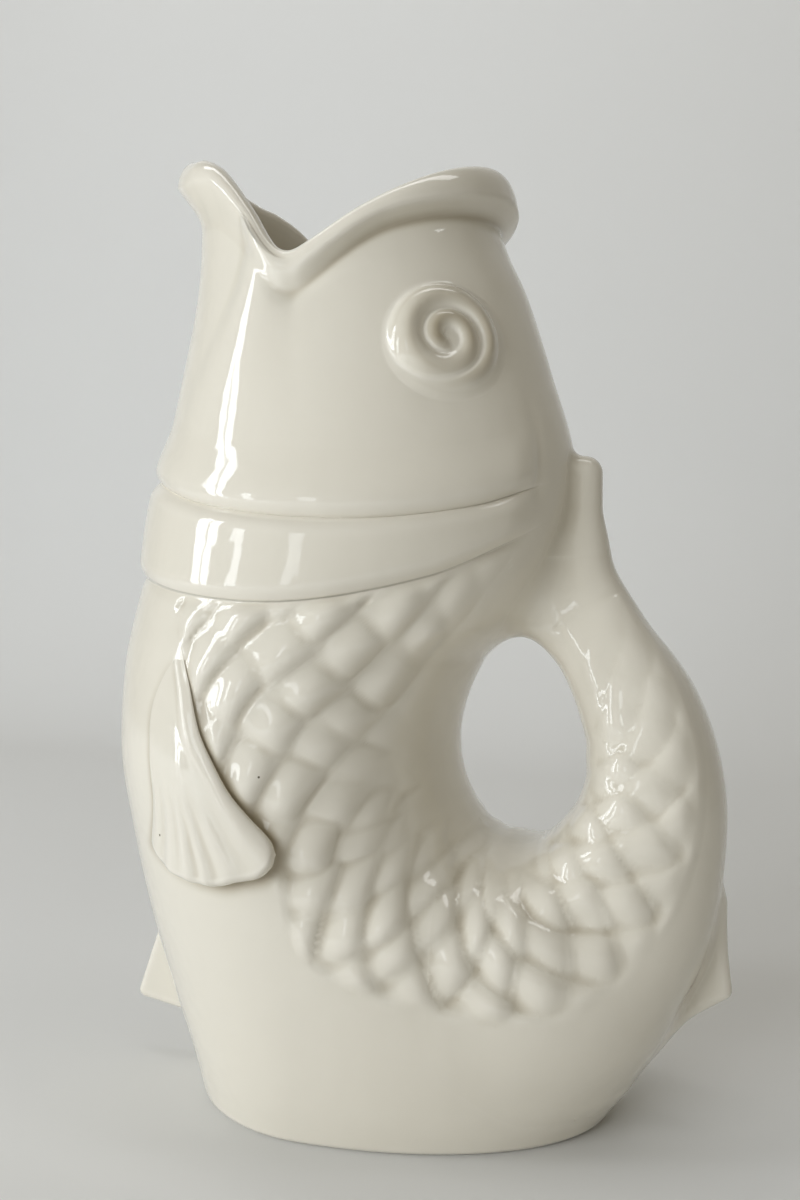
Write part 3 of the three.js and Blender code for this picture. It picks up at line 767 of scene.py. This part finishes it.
def make_glaze():
    material = bpy.data.materials.new("cream_glaze")
    material.use_nodes = True
    tree = material.node_tree
    place = node(tree, "ShaderNodeTexCoord").outputs["Object"]

    # Thicker glaze in the hollows is warmer and darker, and this darkening also paints shade into the
    # creases; thin glaze on the crests is paler.
    hollow = node(tree, "ShaderNodeAttribute", attribute_name="hollow").outputs["Fac"]
    half = node(tree, "ShaderNodeMapRange", {"Value": hollow, "From Min": -1}).outputs["Result"]
    pooling_and_shade = node(tree, "ShaderNodeValToRGB", {"Fac": half})
    ramp = pooling_and_shade.color_ramp
    ramp.elements[0].position, ramp.elements[0].color = 0.3, THIN_GLAZE
    ramp.elements[1].position, ramp.elements[1].color = 0.97, POOLED_GLAZE_AND_SHADE
    ramp.elements.new(0.52).color = GLAZE

    # Slow changes of tint
    tint = node(tree, "ShaderNodeTexNoise", {"Vector": place, "Scale": 14, "Detail": 3}).outputs["Fac"]
    colour = mix(tree, tint, pooling_and_shade.outputs["Color"], CLOUD_TINT, blend_type="MULTIPLY")

    # Pinholes: small dark dots in a few of the cells
    cells = node(tree, "ShaderNodeTexVoronoi", {"Vector": place, "Scale": 110})
    luck = node(tree, "ShaderNodeSeparateColor", {"Color": cells.outputs["Color"]}).outputs["Red"]
    near = maths(tree, "LESS_THAN", cells.outputs["Distance"], 0.032)
    few = maths(tree, "LESS_THAN", luck, 0.06)
    colour = mix(tree, maths(tree, "MULTIPLY", near, few), colour, PINHOLE)

    # Unglazed clay under the foot
    bare = node(tree, "ShaderNodeAttribute", attribute_name="bare").outputs["Fac"]
    dull = node(tree, "ShaderNodeMapRange", {"Value": bare, "To Min": 0.06, "To Max": 0.75})

    # The glaze lies in slow waves.
    wave = node(tree, "ShaderNodeTexNoise", {"Vector": place, "Scale": 90, "Detail": 2}).outputs["Fac"]
    bump = node(tree, "ShaderNodeBump", {"Height": wave, "Strength": 1, "Distance": 0.00022})
    set_inputs(tree, tree.nodes["Principled BSDF"], {
        "Base Color": mix(tree, bare, colour, CLAY),
        "Roughness": dull.outputs["Result"],
        "IOR": 1.52,
        "Coat Weight": 0.3,
        "Coat Roughness": 0.02,
        "Normal": bump.outputs["Normal"],
        "Coat Normal": bump.outputs["Normal"],
    })
    return material


glaze = make_glaze()


# The body, the collar and the head

angles = np.linspace(0, 2 * math.pi, COLUMNS, endpoint=False)[None, :]
places = np.cos(angles)
lower_gill = smooth_value(LOWER_GILL_LINE, 1, places)
upper_gill = smooth_value(UPPER_GILL_LINE, 1, places)
rim_height = smooth_value(RIM, 1, places)
quarter = np.linspace(0, math.pi / 2, 9)[:, None]


def between(start, end, count):
    share = np.linspace(0, 1, count)[:, None]
    return start * (1 - share) + end * share


def rows_over(start, end):
    return max(int(np.max(np.abs(end - start)) / ROW_STEP), 3)


# The flat wall of a joint, between the outer and the inner edge
def joint_wall(outer, inner):
    points = np.stack([outer, inner])
    return rows_surface(points, grid_normals(points))


# Brings the outside into line with the tail and the front fin where these begin, and sets in what they
# cover.
def joined(points, normals):
    flat, turned = points.reshape(-1, 3), normals.reshape(-1, 3).copy()
    lift = np.zeros(len(flat))
    for field, size in ((tail_only, tail_joint), (front_fin_plate, front_fin_joint)):
        away, joint = field(*flat.T), size(flat[:, 2])
        near = away < joint
        share = np.clip((joint - away) / (2 * joint), 0, 1)[near, None]
        slope = value_and_slope(field, flat[near])[1]
        turned[near] = unit(turned[near] * (1 - share) + slope * share)
        lift = np.maximum(lift, -smooth_min(0, away, joint))
    shift = np.minimum(lift, PATCH_STEP) - HIDDEN_SET_IN * rising(lift, PATCH_STEP, 0.3)
    return points + shift.reshape(points.shape[:-1])[..., None] * normals, turned.reshape(points.shape)


def outside_surface(heights):
    points = vessel_point(angles, heights)
    return joined(points, vessel_normal(points))


def turned_down(points):
    normals = grid_normals(points)
    return np.where(normals[..., 2:] > 0, -normals, normals)


# Normals of an inner wall, which point to the inside of the jug
def turned_in(points):
    normals = grid_normals(points)
    middle = points.mean(axis=(0, 1))
    away = ((points - middle) * normals).sum()
    return -normals if away > 0 else normals


def make_body():
    foot = between(np.full_like(places, FOOT_ROUND), lower_gill, rows_over(0, lower_gill))
    under = FOOT_ROUND - FOOT_ROUND * np.sin(quarter)
    rounding = skin_point(angles, under, FOOT_ROUND * (np.cos(quarter) - 1))
    outer, skin_normals = outside_surface(foot)
    base = skin_point(angles, 0 * angles, -FOOT_ROUND)
    ring = skin_point(angles, 0 * angles, -FOOT_ROUND - FOOT_RING)
    hollow = skin_point(angles, 0 * angles + FOOT_HOLLOW, -FOOT_ROUND - FOOT_RING - 1)
    lifted = np.array([0, 0, FOOT_HOLLOW])
    under_rows = np.concatenate([base, ring, hollow, lifted + 0.5 * (hollow - lifted), lifted + 0 * hollow])
    top_inner = skin_point(angles, lower_gill, -WALL)
    down = between(lower_gill, np.full_like(places, FLOOR + FLOOR_FILLET), 16)
    inside = skin_point(angles, down, -WALL)
    curve = np.linspace(0, math.pi / 2, 6)[1:, None]
    fillet_height = FLOOR + FLOOR_FILLET * (1 - np.sin(curve))
    fillet = skin_point(angles, fillet_height, -WALL - FLOOR_FILLET * (1 - np.cos(curve)))
    floor_middle = np.array([0, 0, FLOOR])
    half_way = floor_middle + 0.5 * (fillet[-1:] - floor_middle)
    inside = np.concatenate([inside, fillet, half_way, floor_middle + 0 * half_way])
    outside_points = np.concatenate([rounding[::-1], outer[1:]])
    normals = grid_normals(outside_points)
    normals[len(rounding):] = skin_normals[1:]
    parts = [
        rows_surface(outside_points, normals),
        rows_surface(under_rows, turned_down(under_rows)),
        joint_wall(outer[-1], top_inner[0]),
        rows_surface(inside, turned_in(inside)),
    ]
    # The body's glaze gets painted shade round the pectoral fins.
    add_piece("body_shell", parts, lambda p: (p[:, 2] < 0.3).astype(float), painted_fin_shade)


def make_collar():
    low = lower_gill + EDGE_ROUND * (1 - np.cos(quarter))
    high = upper_gill - EDGE_ROUND * (1 - np.cos(quarter[::-1]))
    middle = between(low[-1:], high[:1], rows_over(lower_gill, upper_gill))
    heights = np.concatenate([low, middle[1:-1], high])
    outer, normals = outside_surface(heights)
    inside = skin_point(angles, between(upper_gill, lower_gill, 5), -WALL)
    parts = [
        rows_surface(outer, normals),
        joint_wall(outer[-1], inside[0]),
        rows_surface(inside, turned_in(inside)),
        joint_wall(inside[-1], outer[0]),
    ]
    add_piece("gill_collar", parts)


def make_head():
    roll_out = smooth_value(RIM_ROLL, 1, places)
    roll_height = smooth_value(RIM_ROLL, 2, places)
    inner_round = smooth_value(RIM_INNER_ROUND, 1, places)
    low = upper_gill + EDGE_ROUND * (1 - np.cos(quarter))
    top = rim_height - roll_height
    heights = np.concatenate([low, between(low[-1:], top, rows_over(upper_gill, top))[1:]])
    outer, outer_normals = outside_surface(heights)
    turn = np.linspace(0, math.pi / 2, 12)[1:, None]
    roll = skin_point(
        angles, top + roll_height * np.sin(turn), lip_out(places, top) + roll_out * (np.cos(turn) - 1))
    crest_out = lip_out(places, top) - roll_out
    inner_turn = np.linspace(0, math.pi / 2, 8)[1:, None]
    drop_in = skin_point(
        angles, rim_height - inner_round * (1 - np.cos(inner_turn)),
        crest_out - inner_round * np.sin(inner_turn))
    share = np.linspace(0, 1, 40)[1:, None]
    down = (rim_height - inner_round) * (1 - share) + upper_gill * share
    blend = smooth_step((rim_height - inner_round - down) / LIP_INNER_FADE)
    wall_level = LIP_INNER_SHARE * lip_out(places, down) - WALL
    inside = skin_point(angles, down, (crest_out - inner_round) * (1 - blend) + wall_level * blend)
    points = np.concatenate([outer, roll, drop_in, inside])
    normals = grid_normals(points)
    normals[:len(outer)] = outer_normals
    add_piece("head_shell", [rows_surface(points, normals), joint_wall(inside[-1], outer[0])])


# The tail with its end and the two low fins, which grow out of the body with soft hollows

def skin_front(z):
    return float(smooth_value(SKIN, 1, z))


# The distance of points from a plate in the plane of symmetry with rounded edges. Its outline is drawn in by
# the rounding first.
def plate(outline, half, rounding):
    inner = drawn_in(outline, rounding)

    def field(x, y, z):
        across = outline_field(inner, x, z)
        deep = np.abs(y) - half + rounding
        beyond = np.hypot(np.maximum(across, 0), np.maximum(deep, 0))
        return np.minimum(np.maximum(across, deep), 0) + beyond - rounding

    return field


FIN_HALF = FIN_EDGE / 2
TAIL_FIN_HALF = TAIL_FIN_WIDTH / 2
TAIL_FIN_FRONT = 30
TAIL_FIN_BELOW = TAIL_FIN_FOOT - 14  # the tail hides the lowest part of the plate
FRONT_FIN_FOOT = 11
FRONT_FIN_CORNER = 15
FRONT_FIN_TOP = 47
FRONT_FIN_DEPTH = 20  # how far the plate reaches into the body
front_fin_plate = plate([
    (skin_front(FRONT_FIN_TOP), FRONT_FIN_TOP),
    (skin_front(FRONT_FIN_CORNER) - FRONT_FIN_REACH, FRONT_FIN_CORNER),
    (skin_front(FRONT_FIN_FOOT), FRONT_FIN_FOOT),
    (skin_front(FRONT_FIN_FOOT) + FRONT_FIN_DEPTH, FRONT_FIN_FOOT),
    (skin_front(FRONT_FIN_TOP) + FRONT_FIN_DEPTH, FRONT_FIN_TOP),
], FIN_HALF, FIN_HALF)
rear_fin_plate = plate([REAR_FIN_FOOT, REAR_FIN_CORNER, REAR_FIN_TOP, *REAR_FIN_ROOT], FIN_HALF, FIN_HALF)
tail_fin_plate = plate([
    (TAIL_FIN_FRONT, TAIL_FIN_BELOW),
    (TAIL_FIN_BACK, TAIL_FIN_BELOW),
    (TAIL_FIN_BACK, TAIL_FIN_TOP),
    (TAIL_FIN_FRONT, TAIL_FIN_TOP),
], TAIL_FIN_HALF, TAIL_FIN_HALF - 0.2)

TAIL_BLEND = 10  # size of the soft hollow between the body and the tail
NECK_BLEND = 3.5  # size of the one between the neck and the end of the tail
NECK_JOINT = (124, 24)  # height where the joint begins to narrow from one to the other, and over how much
TAIL_FIN_BLEND = 7
REAR_FIN_BLEND = 6
FRONT_FIN_BLEND = 5
PATCH_STEP = 0.05  # height above the body at which the tail and the fins begin
HIDDEN_SET_IN = 1
LOW_FIN_WALL = 1.2
TAIL_FIN_WALL = 2
TAIL_WALL = 3
# Corners of the lattices, which take in the right half of the tail and of the front fin
TAIL_BOX = ((6, -4, 6), (88, 48, 170))
FRONT_FIN_BOX = ((-82, -3, 2), (-48, 16, 60))
TAIL_STEP = 0.75 * COARSE
FRONT_FIN_STEP = 0.5 * COARSE


def tail_only(x, y, z):
    tail = smooth_min(tail_field(x, y, z), tail_fin_plate(x, y, z), TAIL_FIN_BLEND)
    return smooth_min(tail, rear_fin_plate(x, y, z), REAR_FIN_BLEND)


def tail_joint(z):
    return TAIL_BLEND + (NECK_BLEND - TAIL_BLEND) * rising(z, *NECK_JOINT)


def front_fin_joint(z):
    return np.full(np.shape(z), float(FRONT_FIN_BLEND))


# The body together with what grows out of it, and how far inside the grown piece's own surface a point lies
def grown(piece, joint):
    def together(x, y, z):
        return smooth_min(vessel_field(x, y, z), piece(x, y, z), joint(z))

    def own_part(x, y, z):
        body = vessel_field(x, y, z)
        in_reach = joint(z) - piece(x, y, z) + body
        return np.minimum(np.minimum(body - PATCH_STEP, in_reach), y)

    return together, own_part


def both_sides(points, faces, normals):
    points = np.concatenate([points, points * MIRROR])
    faces = np.concatenate([faces, faces[:, ::-1] + len(normals)])
    normals = np.concatenate([normals, normals * MIRROR])
    first, where = same_points(points)
    return points[first], where[faces], normals[first]


def make_tail():
    patch = field_surface(*grown(tail_only, tail_joint), *TAIL_BOX, TAIL_STEP)
    points, faces, normals = patch
    fin = tail_field(*points.T) - rear_fin_plate(*points.T)
    rear = clipped(points, faces, normals, fin)
    rest = clipped(points, faces, normals, -fin)
    upper = clipped(*rest, rest[0][:, 2] - TAIL_FIN_FOOT)
    lower = clipped(*rest, TAIL_FIN_FOOT - rest[0][:, 2])
    add_piece("rear_fin", thickened(*both_sides(*rear), LOW_FIN_WALL))
    add_piece("tail_fin", thickened(*both_sides(*upper), TAIL_FIN_WALL))
    add_piece("tail_handle", thickened(*both_sides(*lower), TAIL_WALL))


def make_front_fin():
    patch = field_surface(*grown(front_fin_plate, front_fin_joint), *FRONT_FIN_BOX, FRONT_FIN_STEP)
    add_piece("front_fin", thickened(*both_sides(*patch), LOW_FIN_WALL))


# The eyes: a low boss with a coil of clay that winds out from its middle

EYE_BOSS = 15.6
EYE_BOSS_HEIGHT = 1.2
EYE_BOSS_EDGE = 7
SUNK = 0.8  # depth of the undersides of the applied pieces below the skin
# Turn of the coil in degrees from the left of its middle, its distance from the middle, half width, height
EYE_COIL = np.array([
    (-120, 2.2, 2.2, 0), (-60, 2.6, 2.5, 1), (0, 3.4, 2.8, 1.9), (90, 4.6, 2.7, 1.8), (180, 5, 2.6, 1.7),
    (270, 6.8, 3.4, 1.4), (315, 8.4, 4.2, 1.8), (360, 9.8, 4.4, 2.5), (450, 10.9, 3.6, 2),
    (540, 10.6, 2.3, 1.5), (590, 10.6, 2.2, 1), (650, 10.6, 2.2, 0),
])


def eye_height(over, up):
    distance = np.hypot(over, up)
    turn = np.degrees(np.arctan2(up, -over))
    coil = np.zeros_like(distance)
    for round_number in (-1, 0, 1, 2):
        at = turn + 360 * round_number
        share = (distance - smooth_value(EYE_COIL, 1, at)) / smooth_value(EYE_COIL, 2, at)
        ridge = smooth_value(EYE_COIL, 3, at) * np.clip(1 - share * share, 0, 1)
        inside = (at > EYE_COIL[0, 0]) & (at < EYE_COIL[-1, 0])
        coil = smooth_max(coil, np.where(inside, ridge, 0), 0.4)
    boss = EYE_BOSS_HEIGHT * smooth_step((EYE_BOSS - distance) / EYE_BOSS_EDGE)
    return boss + coil * smooth_step((EYE_BOSS - distance) / 3)


# Points at a height above the outside of the head
def over_skin(base, normal, height):
    lift = np.zeros(base.shape[:-1])
    for _ in range(5):
        point = base + lift[..., None] * normal
        lift = lift - (vessel_field(*np.moveaxis(point, -1, 0)) - height)
    return base + lift[..., None] * normal


# The angle round the fish of a place on its left side
def skin_angle(x, z):
    widest, ahead, behind = skin_section(z)
    return -np.arccos(np.clip((x - widest) / np.where(x < widest, ahead, behind), -1, 1))


def make_eyes():
    angle = np.array([skin_angle(EYE_X, EYE_Z)])
    height = np.array([float(EYE_Z)])
    middle = vessel_point(angle, height)[0]
    normal = vessel_normal(middle)
    over_way = unit(np.cross(np.array([0, 0, 1.0]), normal))
    up_way = np.cross(normal, over_way)
    turns = np.linspace(0, 2 * math.pi, 144 // COARSE, endpoint=False)[None, :]
    radii = np.linspace(0, EYE_BOSS, 64 // COARSE)[:, None]
    over, up = radii * np.cos(turns), radii * np.sin(turns)
    base = middle + over[..., None] * over_way + up[..., None] * up_way
    top = over_skin(base, normal, np.maximum(eye_height(over, up), 0.03))
    bottom = over_skin(base, normal, np.full(over.shape, -SUNK))
    parts = [
        rows_surface(top, grid_normals(top)),
        rows_surface(bottom, -grid_normals(bottom)),
        joint_wall(top[-1], bottom[-1]),
    ]
    add_piece("left_eye", parts)
    add_piece("right_eye", mirrored(parts))


# The pectoral fins: leaves with a narrow root at the top and a lobed, raised lower edge

# Share of the way down, x and z of the two side edges
FIN_LEFT = np.array([
    (0, -41.5, 114.5), (0.08, -44.6, 111), (0.25, -48.3, 103), (0.48, -48.4, 93), (0.75, -47.5, 81),
    (1, -49.7, 69.6),
])
FIN_RIGHT = np.array([
    (0, -38.6, 114.5), (0.12, -36.2, 108.8), (0.35, -32.6, 98.4), (0.5, -29, 92),
    (0.65, -24.8, 85.3), (0.8, -20.1, 80), (0.93, -15.2, 74.9), (1, -13.9, 71.8),
])
# Share of the way over, x and z of the lower edge
FIN_LOWER = np.array([
    (0, -49.7, 69.6), (0.15, -44, 66.4), (0.35, -36, 64.6), (0.55, -30, 64),
    (0.68, -26.2, 64.2), (0.78, -22.4, 65.4), (0.88, -17.4, 66.6), (0.95, -14.7, 68.9), (1, -13.9, 71.8),
])
# Share of the way down, how far the fin stands off the body
FIN_RISE = np.array([(0, 0.7), (0.2, 1.3), (0.5, 2.4), (0.8, 3.9), (1, 4.9)])
FIN_FLUTES = 6
FIN_FLUTE_DEPTH = 0.4
FIN_ROUND = 1.9
FIN_EDGE_SHARE = 0.5  # height of the undercut edge as a share of the fin's
FIN_UNDERCUT = 0.08  # how far the edge is cut under, as a share of the fin's size
FIN_LEFT_SHARE = 0.34  # height at the left edge as a share of the right edge's
FIN_LEFT_RAMP = 13
FIN_RIB = 0.45  # height of the rib along the upper part of the right edge
FIN_RIB_IN = 2.4
FIN_RIB_HALF = 1.1
FIN_LENGTH = 50


def pectoral_point(down, over):
    place = []
    for column in (1, 2):
        left, right = smooth_value(FIN_LEFT, column, down), smooth_value(FIN_RIGHT, column, down)
        straight = FIN_LOWER[0, column] * (1 - over) + FIN_LOWER[-1, column] * over
        sag = smooth_value(FIN_LOWER, column, over) - straight
        place.append(left * (1 - over) + right * over + down * sag)
    return place


def fin_height(down, over, wide):
    from_left, from_right = over * wide, (1 - over) * wide
    from_below = (1 - down) * FIN_LENGTH
    flutes = 0.5 + 0.5 * np.cos(2 * math.pi * FIN_FLUTES * over)
    flutes = FIN_FLUTE_DEPTH * flutes * rising(down, 0.5, 0.4)
    ramp = FIN_LEFT_SHARE + (1 - FIN_LEFT_SHARE) * smooth_step(from_left / FIN_LEFT_RAMP)
    rib = FIN_RIB * np.exp(-((from_right - FIN_RIB_IN) / FIN_RIB_HALF) ** 2)
    rib = rib * (1 - rising(down, 0.3, 0.3))
    rise = ramp * smooth_value(FIN_RISE, 1, down) + rib - flutes
    size = np.minimum(FIN_ROUND, wide * 0.5)
    sides = quarter_round(from_left, size) * quarter_round(from_right, size)
    edges = sides * quarter_round(from_below, FIN_ROUND)
    return rise * (FIN_EDGE_SHARE + (1 - FIN_EDGE_SHARE) * edges)


def make_pectorals():
    over = (0.5 - 0.5 * np.cos(np.linspace(0, math.pi, 97 // COARSE)))[None, :]
    down = np.sin(np.linspace(0, math.pi / 2, 97 // COARSE))[:, None]
    x, z = pectoral_point(down, over)
    wide = np.hypot(x[:, -1] - x[:, 0], z[:, -1] - z[:, 0])[:, None]
    height = fin_height(down, over, wide)
    top = on_body(x, z, height)
    shrink_over = over + 2 * FIN_UNDERCUT * (0.5 - over)
    x, z = pectoral_point(down * (1 - FIN_UNDERCUT), shrink_over)
    bottom = on_body(x, z, np.full(height.shape, -SUNK))
    parts = closed_leaf(top, bottom)
    add_piece("left_pectoral_fin", parts)
    add_piece("right_pectoral_fin", mirrored(parts))


# Points at a height above the left side of the body, without its scales
def on_body(x, z, height):
    angle = skin_angle(x, z)
    base = skin_point(angle, z, 0)
    turn, rise = 0.002, 0.12
    round_fish = skin_point(angle + turn, z, 0) - skin_point(angle - turn, z, 0)
    up = skin_point(angle, z + rise, 0) - skin_point(angle, z - rise, 0)
    return base + unit(np.cross(round_fish, up)) * height[..., None]


# Painted shade round the edge of a pectoral fin, from 0 to 1: darkest under its lower edge, where its shadow
# falls, and also standing for glaze pooled in the crease
def painted_fin_shade(points):
    steps = np.linspace(0, 1, 24)[1:]
    sides = [pectoral_point(steps, 0 * steps), pectoral_point(0 * steps + 1, steps)]
    sides.append(pectoral_point(1 - steps, 0 * steps + 1))
    outline = [(float(x), float(z)) for side in sides for x, z in zip(*side)]
    fin_shade = np.zeros(len(points))
    near = (points[:, 0] < 0) & (abs(points[:, 1]) > 15) & (points[:, 2] > 56) & (points[:, 2] < 122)
    away = outline_field(outline, points[near, 0], points[near, 2])
    # Painted shadow: strongest under the lower edge of the fin
    lower = 0.25 + 0.75 * smooth_step((112 - points[near, 2]) / 30)
    reach = 1.5 + 1.2 * smooth_step((78 - points[near, 2]) / 12)
    fin_shade[near] = np.exp(-(np.maximum(away, 0) / reach) ** 2) * lower
    return fin_shade


def sheet_normals(points):
    return unit(np.cross(np.gradient(points, axis=1), np.gradient(points, axis=0)))


def closed_leaf(top, bottom):
    rows, columns = top.shape[:2]
    faces = grid_faces(rows, columns, closed=False)
    outer = surface(top, faces, facing(sheet_normals(top), top - bottom))
    inner = surface(bottom, faces, facing(sheet_normals(bottom), bottom - top))
    edge = np.arange(rows * columns).reshape(rows, columns)
    loop = np.concatenate([edge[0, :-1], edge[:-1, -1], edge[-1, :0:-1], edge[:0:-1, 0]])
    both = np.stack([top.reshape(-1, 3)[loop], bottom.reshape(-1, 3)[loop]])
    wall = rows_surface(both, -turned_in(both))
    return [outer, inner, wall]


def facing(normals, way):
    return np.where((normals * way).sum(axis=-1, keepdims=True) < 0, -normals, normals)


make_body()
make_collar()
make_head()
make_tail()
make_front_fin()
make_eyes()
make_pectorals()

# The camera stands where the photograph was taken from.
CAMERA_DISTANCE = 276
CAMERA_HEIGHT = 132
CAMERA_YAW = math.radians(17.5)
CAMERA_PITCH = math.radians(0.82)
FOCAL_PIXELS = 1050
IMAGE_HEIGHT = 1200


def make_camera():
    data = bpy.data.cameras.new("camera")
    data.sensor_width = 36
    data.lens = data.sensor_width * FOCAL_PIXELS / IMAGE_HEIGHT
    data.clip_start = 0.01
    camera = add_object("camera", data)
    sine, cosine = math.sin(CAMERA_YAW), math.cos(CAMERA_YAW)
    camera.location = Vector((CAMERA_DISTANCE * sine, -CAMERA_DISTANCE * cosine, CAMERA_HEIGHT)) * MM
    level = math.cos(CAMERA_PITCH)
    ahead = Vector((-sine * level, cosine * level, -math.sin(CAMERA_PITCH)))
    camera.rotation_euler = ahead.to_track_quat("-Z", "Y").to_euler()
    bpy.context.scene.camera = camera


make_camera()


# The stage: a pale floor that sweeps up into a wall, and a window at the left

WALL_PLACE = 700
WALL_BEND = 250
WALL_BEND_STEPS = 12
STAGE_REACH = 3000


def make_floor():
    bend_start = WALL_PLACE - WALL_BEND
    profile = [(-STAGE_REACH, 0), (bend_start, 0)]
    for k in range(1, WALL_BEND_STEPS + 1):
        turn = math.pi / 2 * k / WALL_BEND_STEPS
        profile.append((bend_start + WALL_BEND * math.sin(turn), WALL_BEND * (1 - math.cos(turn))))
    profile.append((WALL_PLACE, STAGE_REACH))
    points = [(x * MM, y * MM, z * MM) for y, z in profile for x in (-STAGE_REACH, STAGE_REACH)]
    faces = [(2 * k, 2 * k + 1, 2 * k + 3, 2 * k + 2) for k in range(len(profile) - 1)]
    mesh = bpy.data.meshes.new("floor")
    mesh.from_pydata(points, [], faces)
    mesh.shade_smooth()
    floor = add_object("floor", mesh)
    material = bpy.data.materials.new("pale_floor")
    material.use_nodes = True
    tree = material.node_tree
    look = {"Base Color": (0.8, 0.8, 0.79, 1), "Roughness": 0.85, "Specular IOR Level": 0.2}
    set_inputs(tree, tree.nodes["Principled BSDF"], look)
    mesh.materials.append(material)


WINDOW_DISTANCE = 1300
WINDOW_CENTRE = (0, 0, 140)
WINDOW_COLOUR = (0.9, 0.95, 1)
# The panes of the window: direction from the jug in degrees, size in degrees and power in watts
PANES = [
    (-67, 15, 5, 40, 2.1),
    (-60.5, 15, 5, 40, 2.3),
    (-46, 8, 6, 22, 1),
    (-18, 10, 6, 16, 0.35),
]
# Size, power in watts, colour, place and what the lamp points at, in mm
FRONT_LIGHT = ((900, 700), 8.3, (0.91, 0.955, 1), (-520, -1120, 420), (0, 0, 100))
WALL_LIGHT = ((1800, 300), 5, (1, 1, 1), (-100, 50, 1500), (0, 700, 500))


def add_lamp(name, size, power, colour, place, target):
    light = bpy.data.lights.new(name, "AREA")
    light.shape = "RECTANGLE"
    light.size, light.size_y = [length * MM for length in size]
    light.energy = power
    light.color = colour
    lamp = add_object(name, light)
    lamp.location = Vector(place) * MM
    lamp.rotation_euler = (Vector(target) - Vector(place)).to_track_quat("-Z", "Y").to_euler()
    return lamp


def make_lights():
    for number, (turn, rise, wide, tall, power) in enumerate(PANES):
        a, e = math.radians(turn), math.radians(rise)
        away = Vector((math.sin(a) * math.cos(e), -math.cos(a) * math.cos(e), math.sin(e)))
        place = Vector(WINDOW_CENTRE) + away * WINDOW_DISTANCE
        size = [2 * WINDOW_DISTANCE * math.tan(math.radians(angle / 2)) for angle in (wide, tall)]
        add_lamp(f"pane_{number}", size, power, WINDOW_COLOUR, place, WINDOW_CENTRE)
    # The front light isn't mirrored in the glaze.
    add_lamp("front_light", *FRONT_LIGHT).visible_glossy = False
    add_lamp("wall_light", *WALL_LIGHT)


def make_world():
    world = bpy.data.worlds.new("room")
    bpy.context.scene.world = world
    world.use_nodes = True
    tree = world.node_tree
    set_inputs(tree, tree.nodes["Background"], {"Color": (0.92, 0.82, 0.6, 1), "Strength": 0.17})


make_floor()
make_lights()
make_world()
bpy.context.scene.view_settings.view_transform = "Standard"
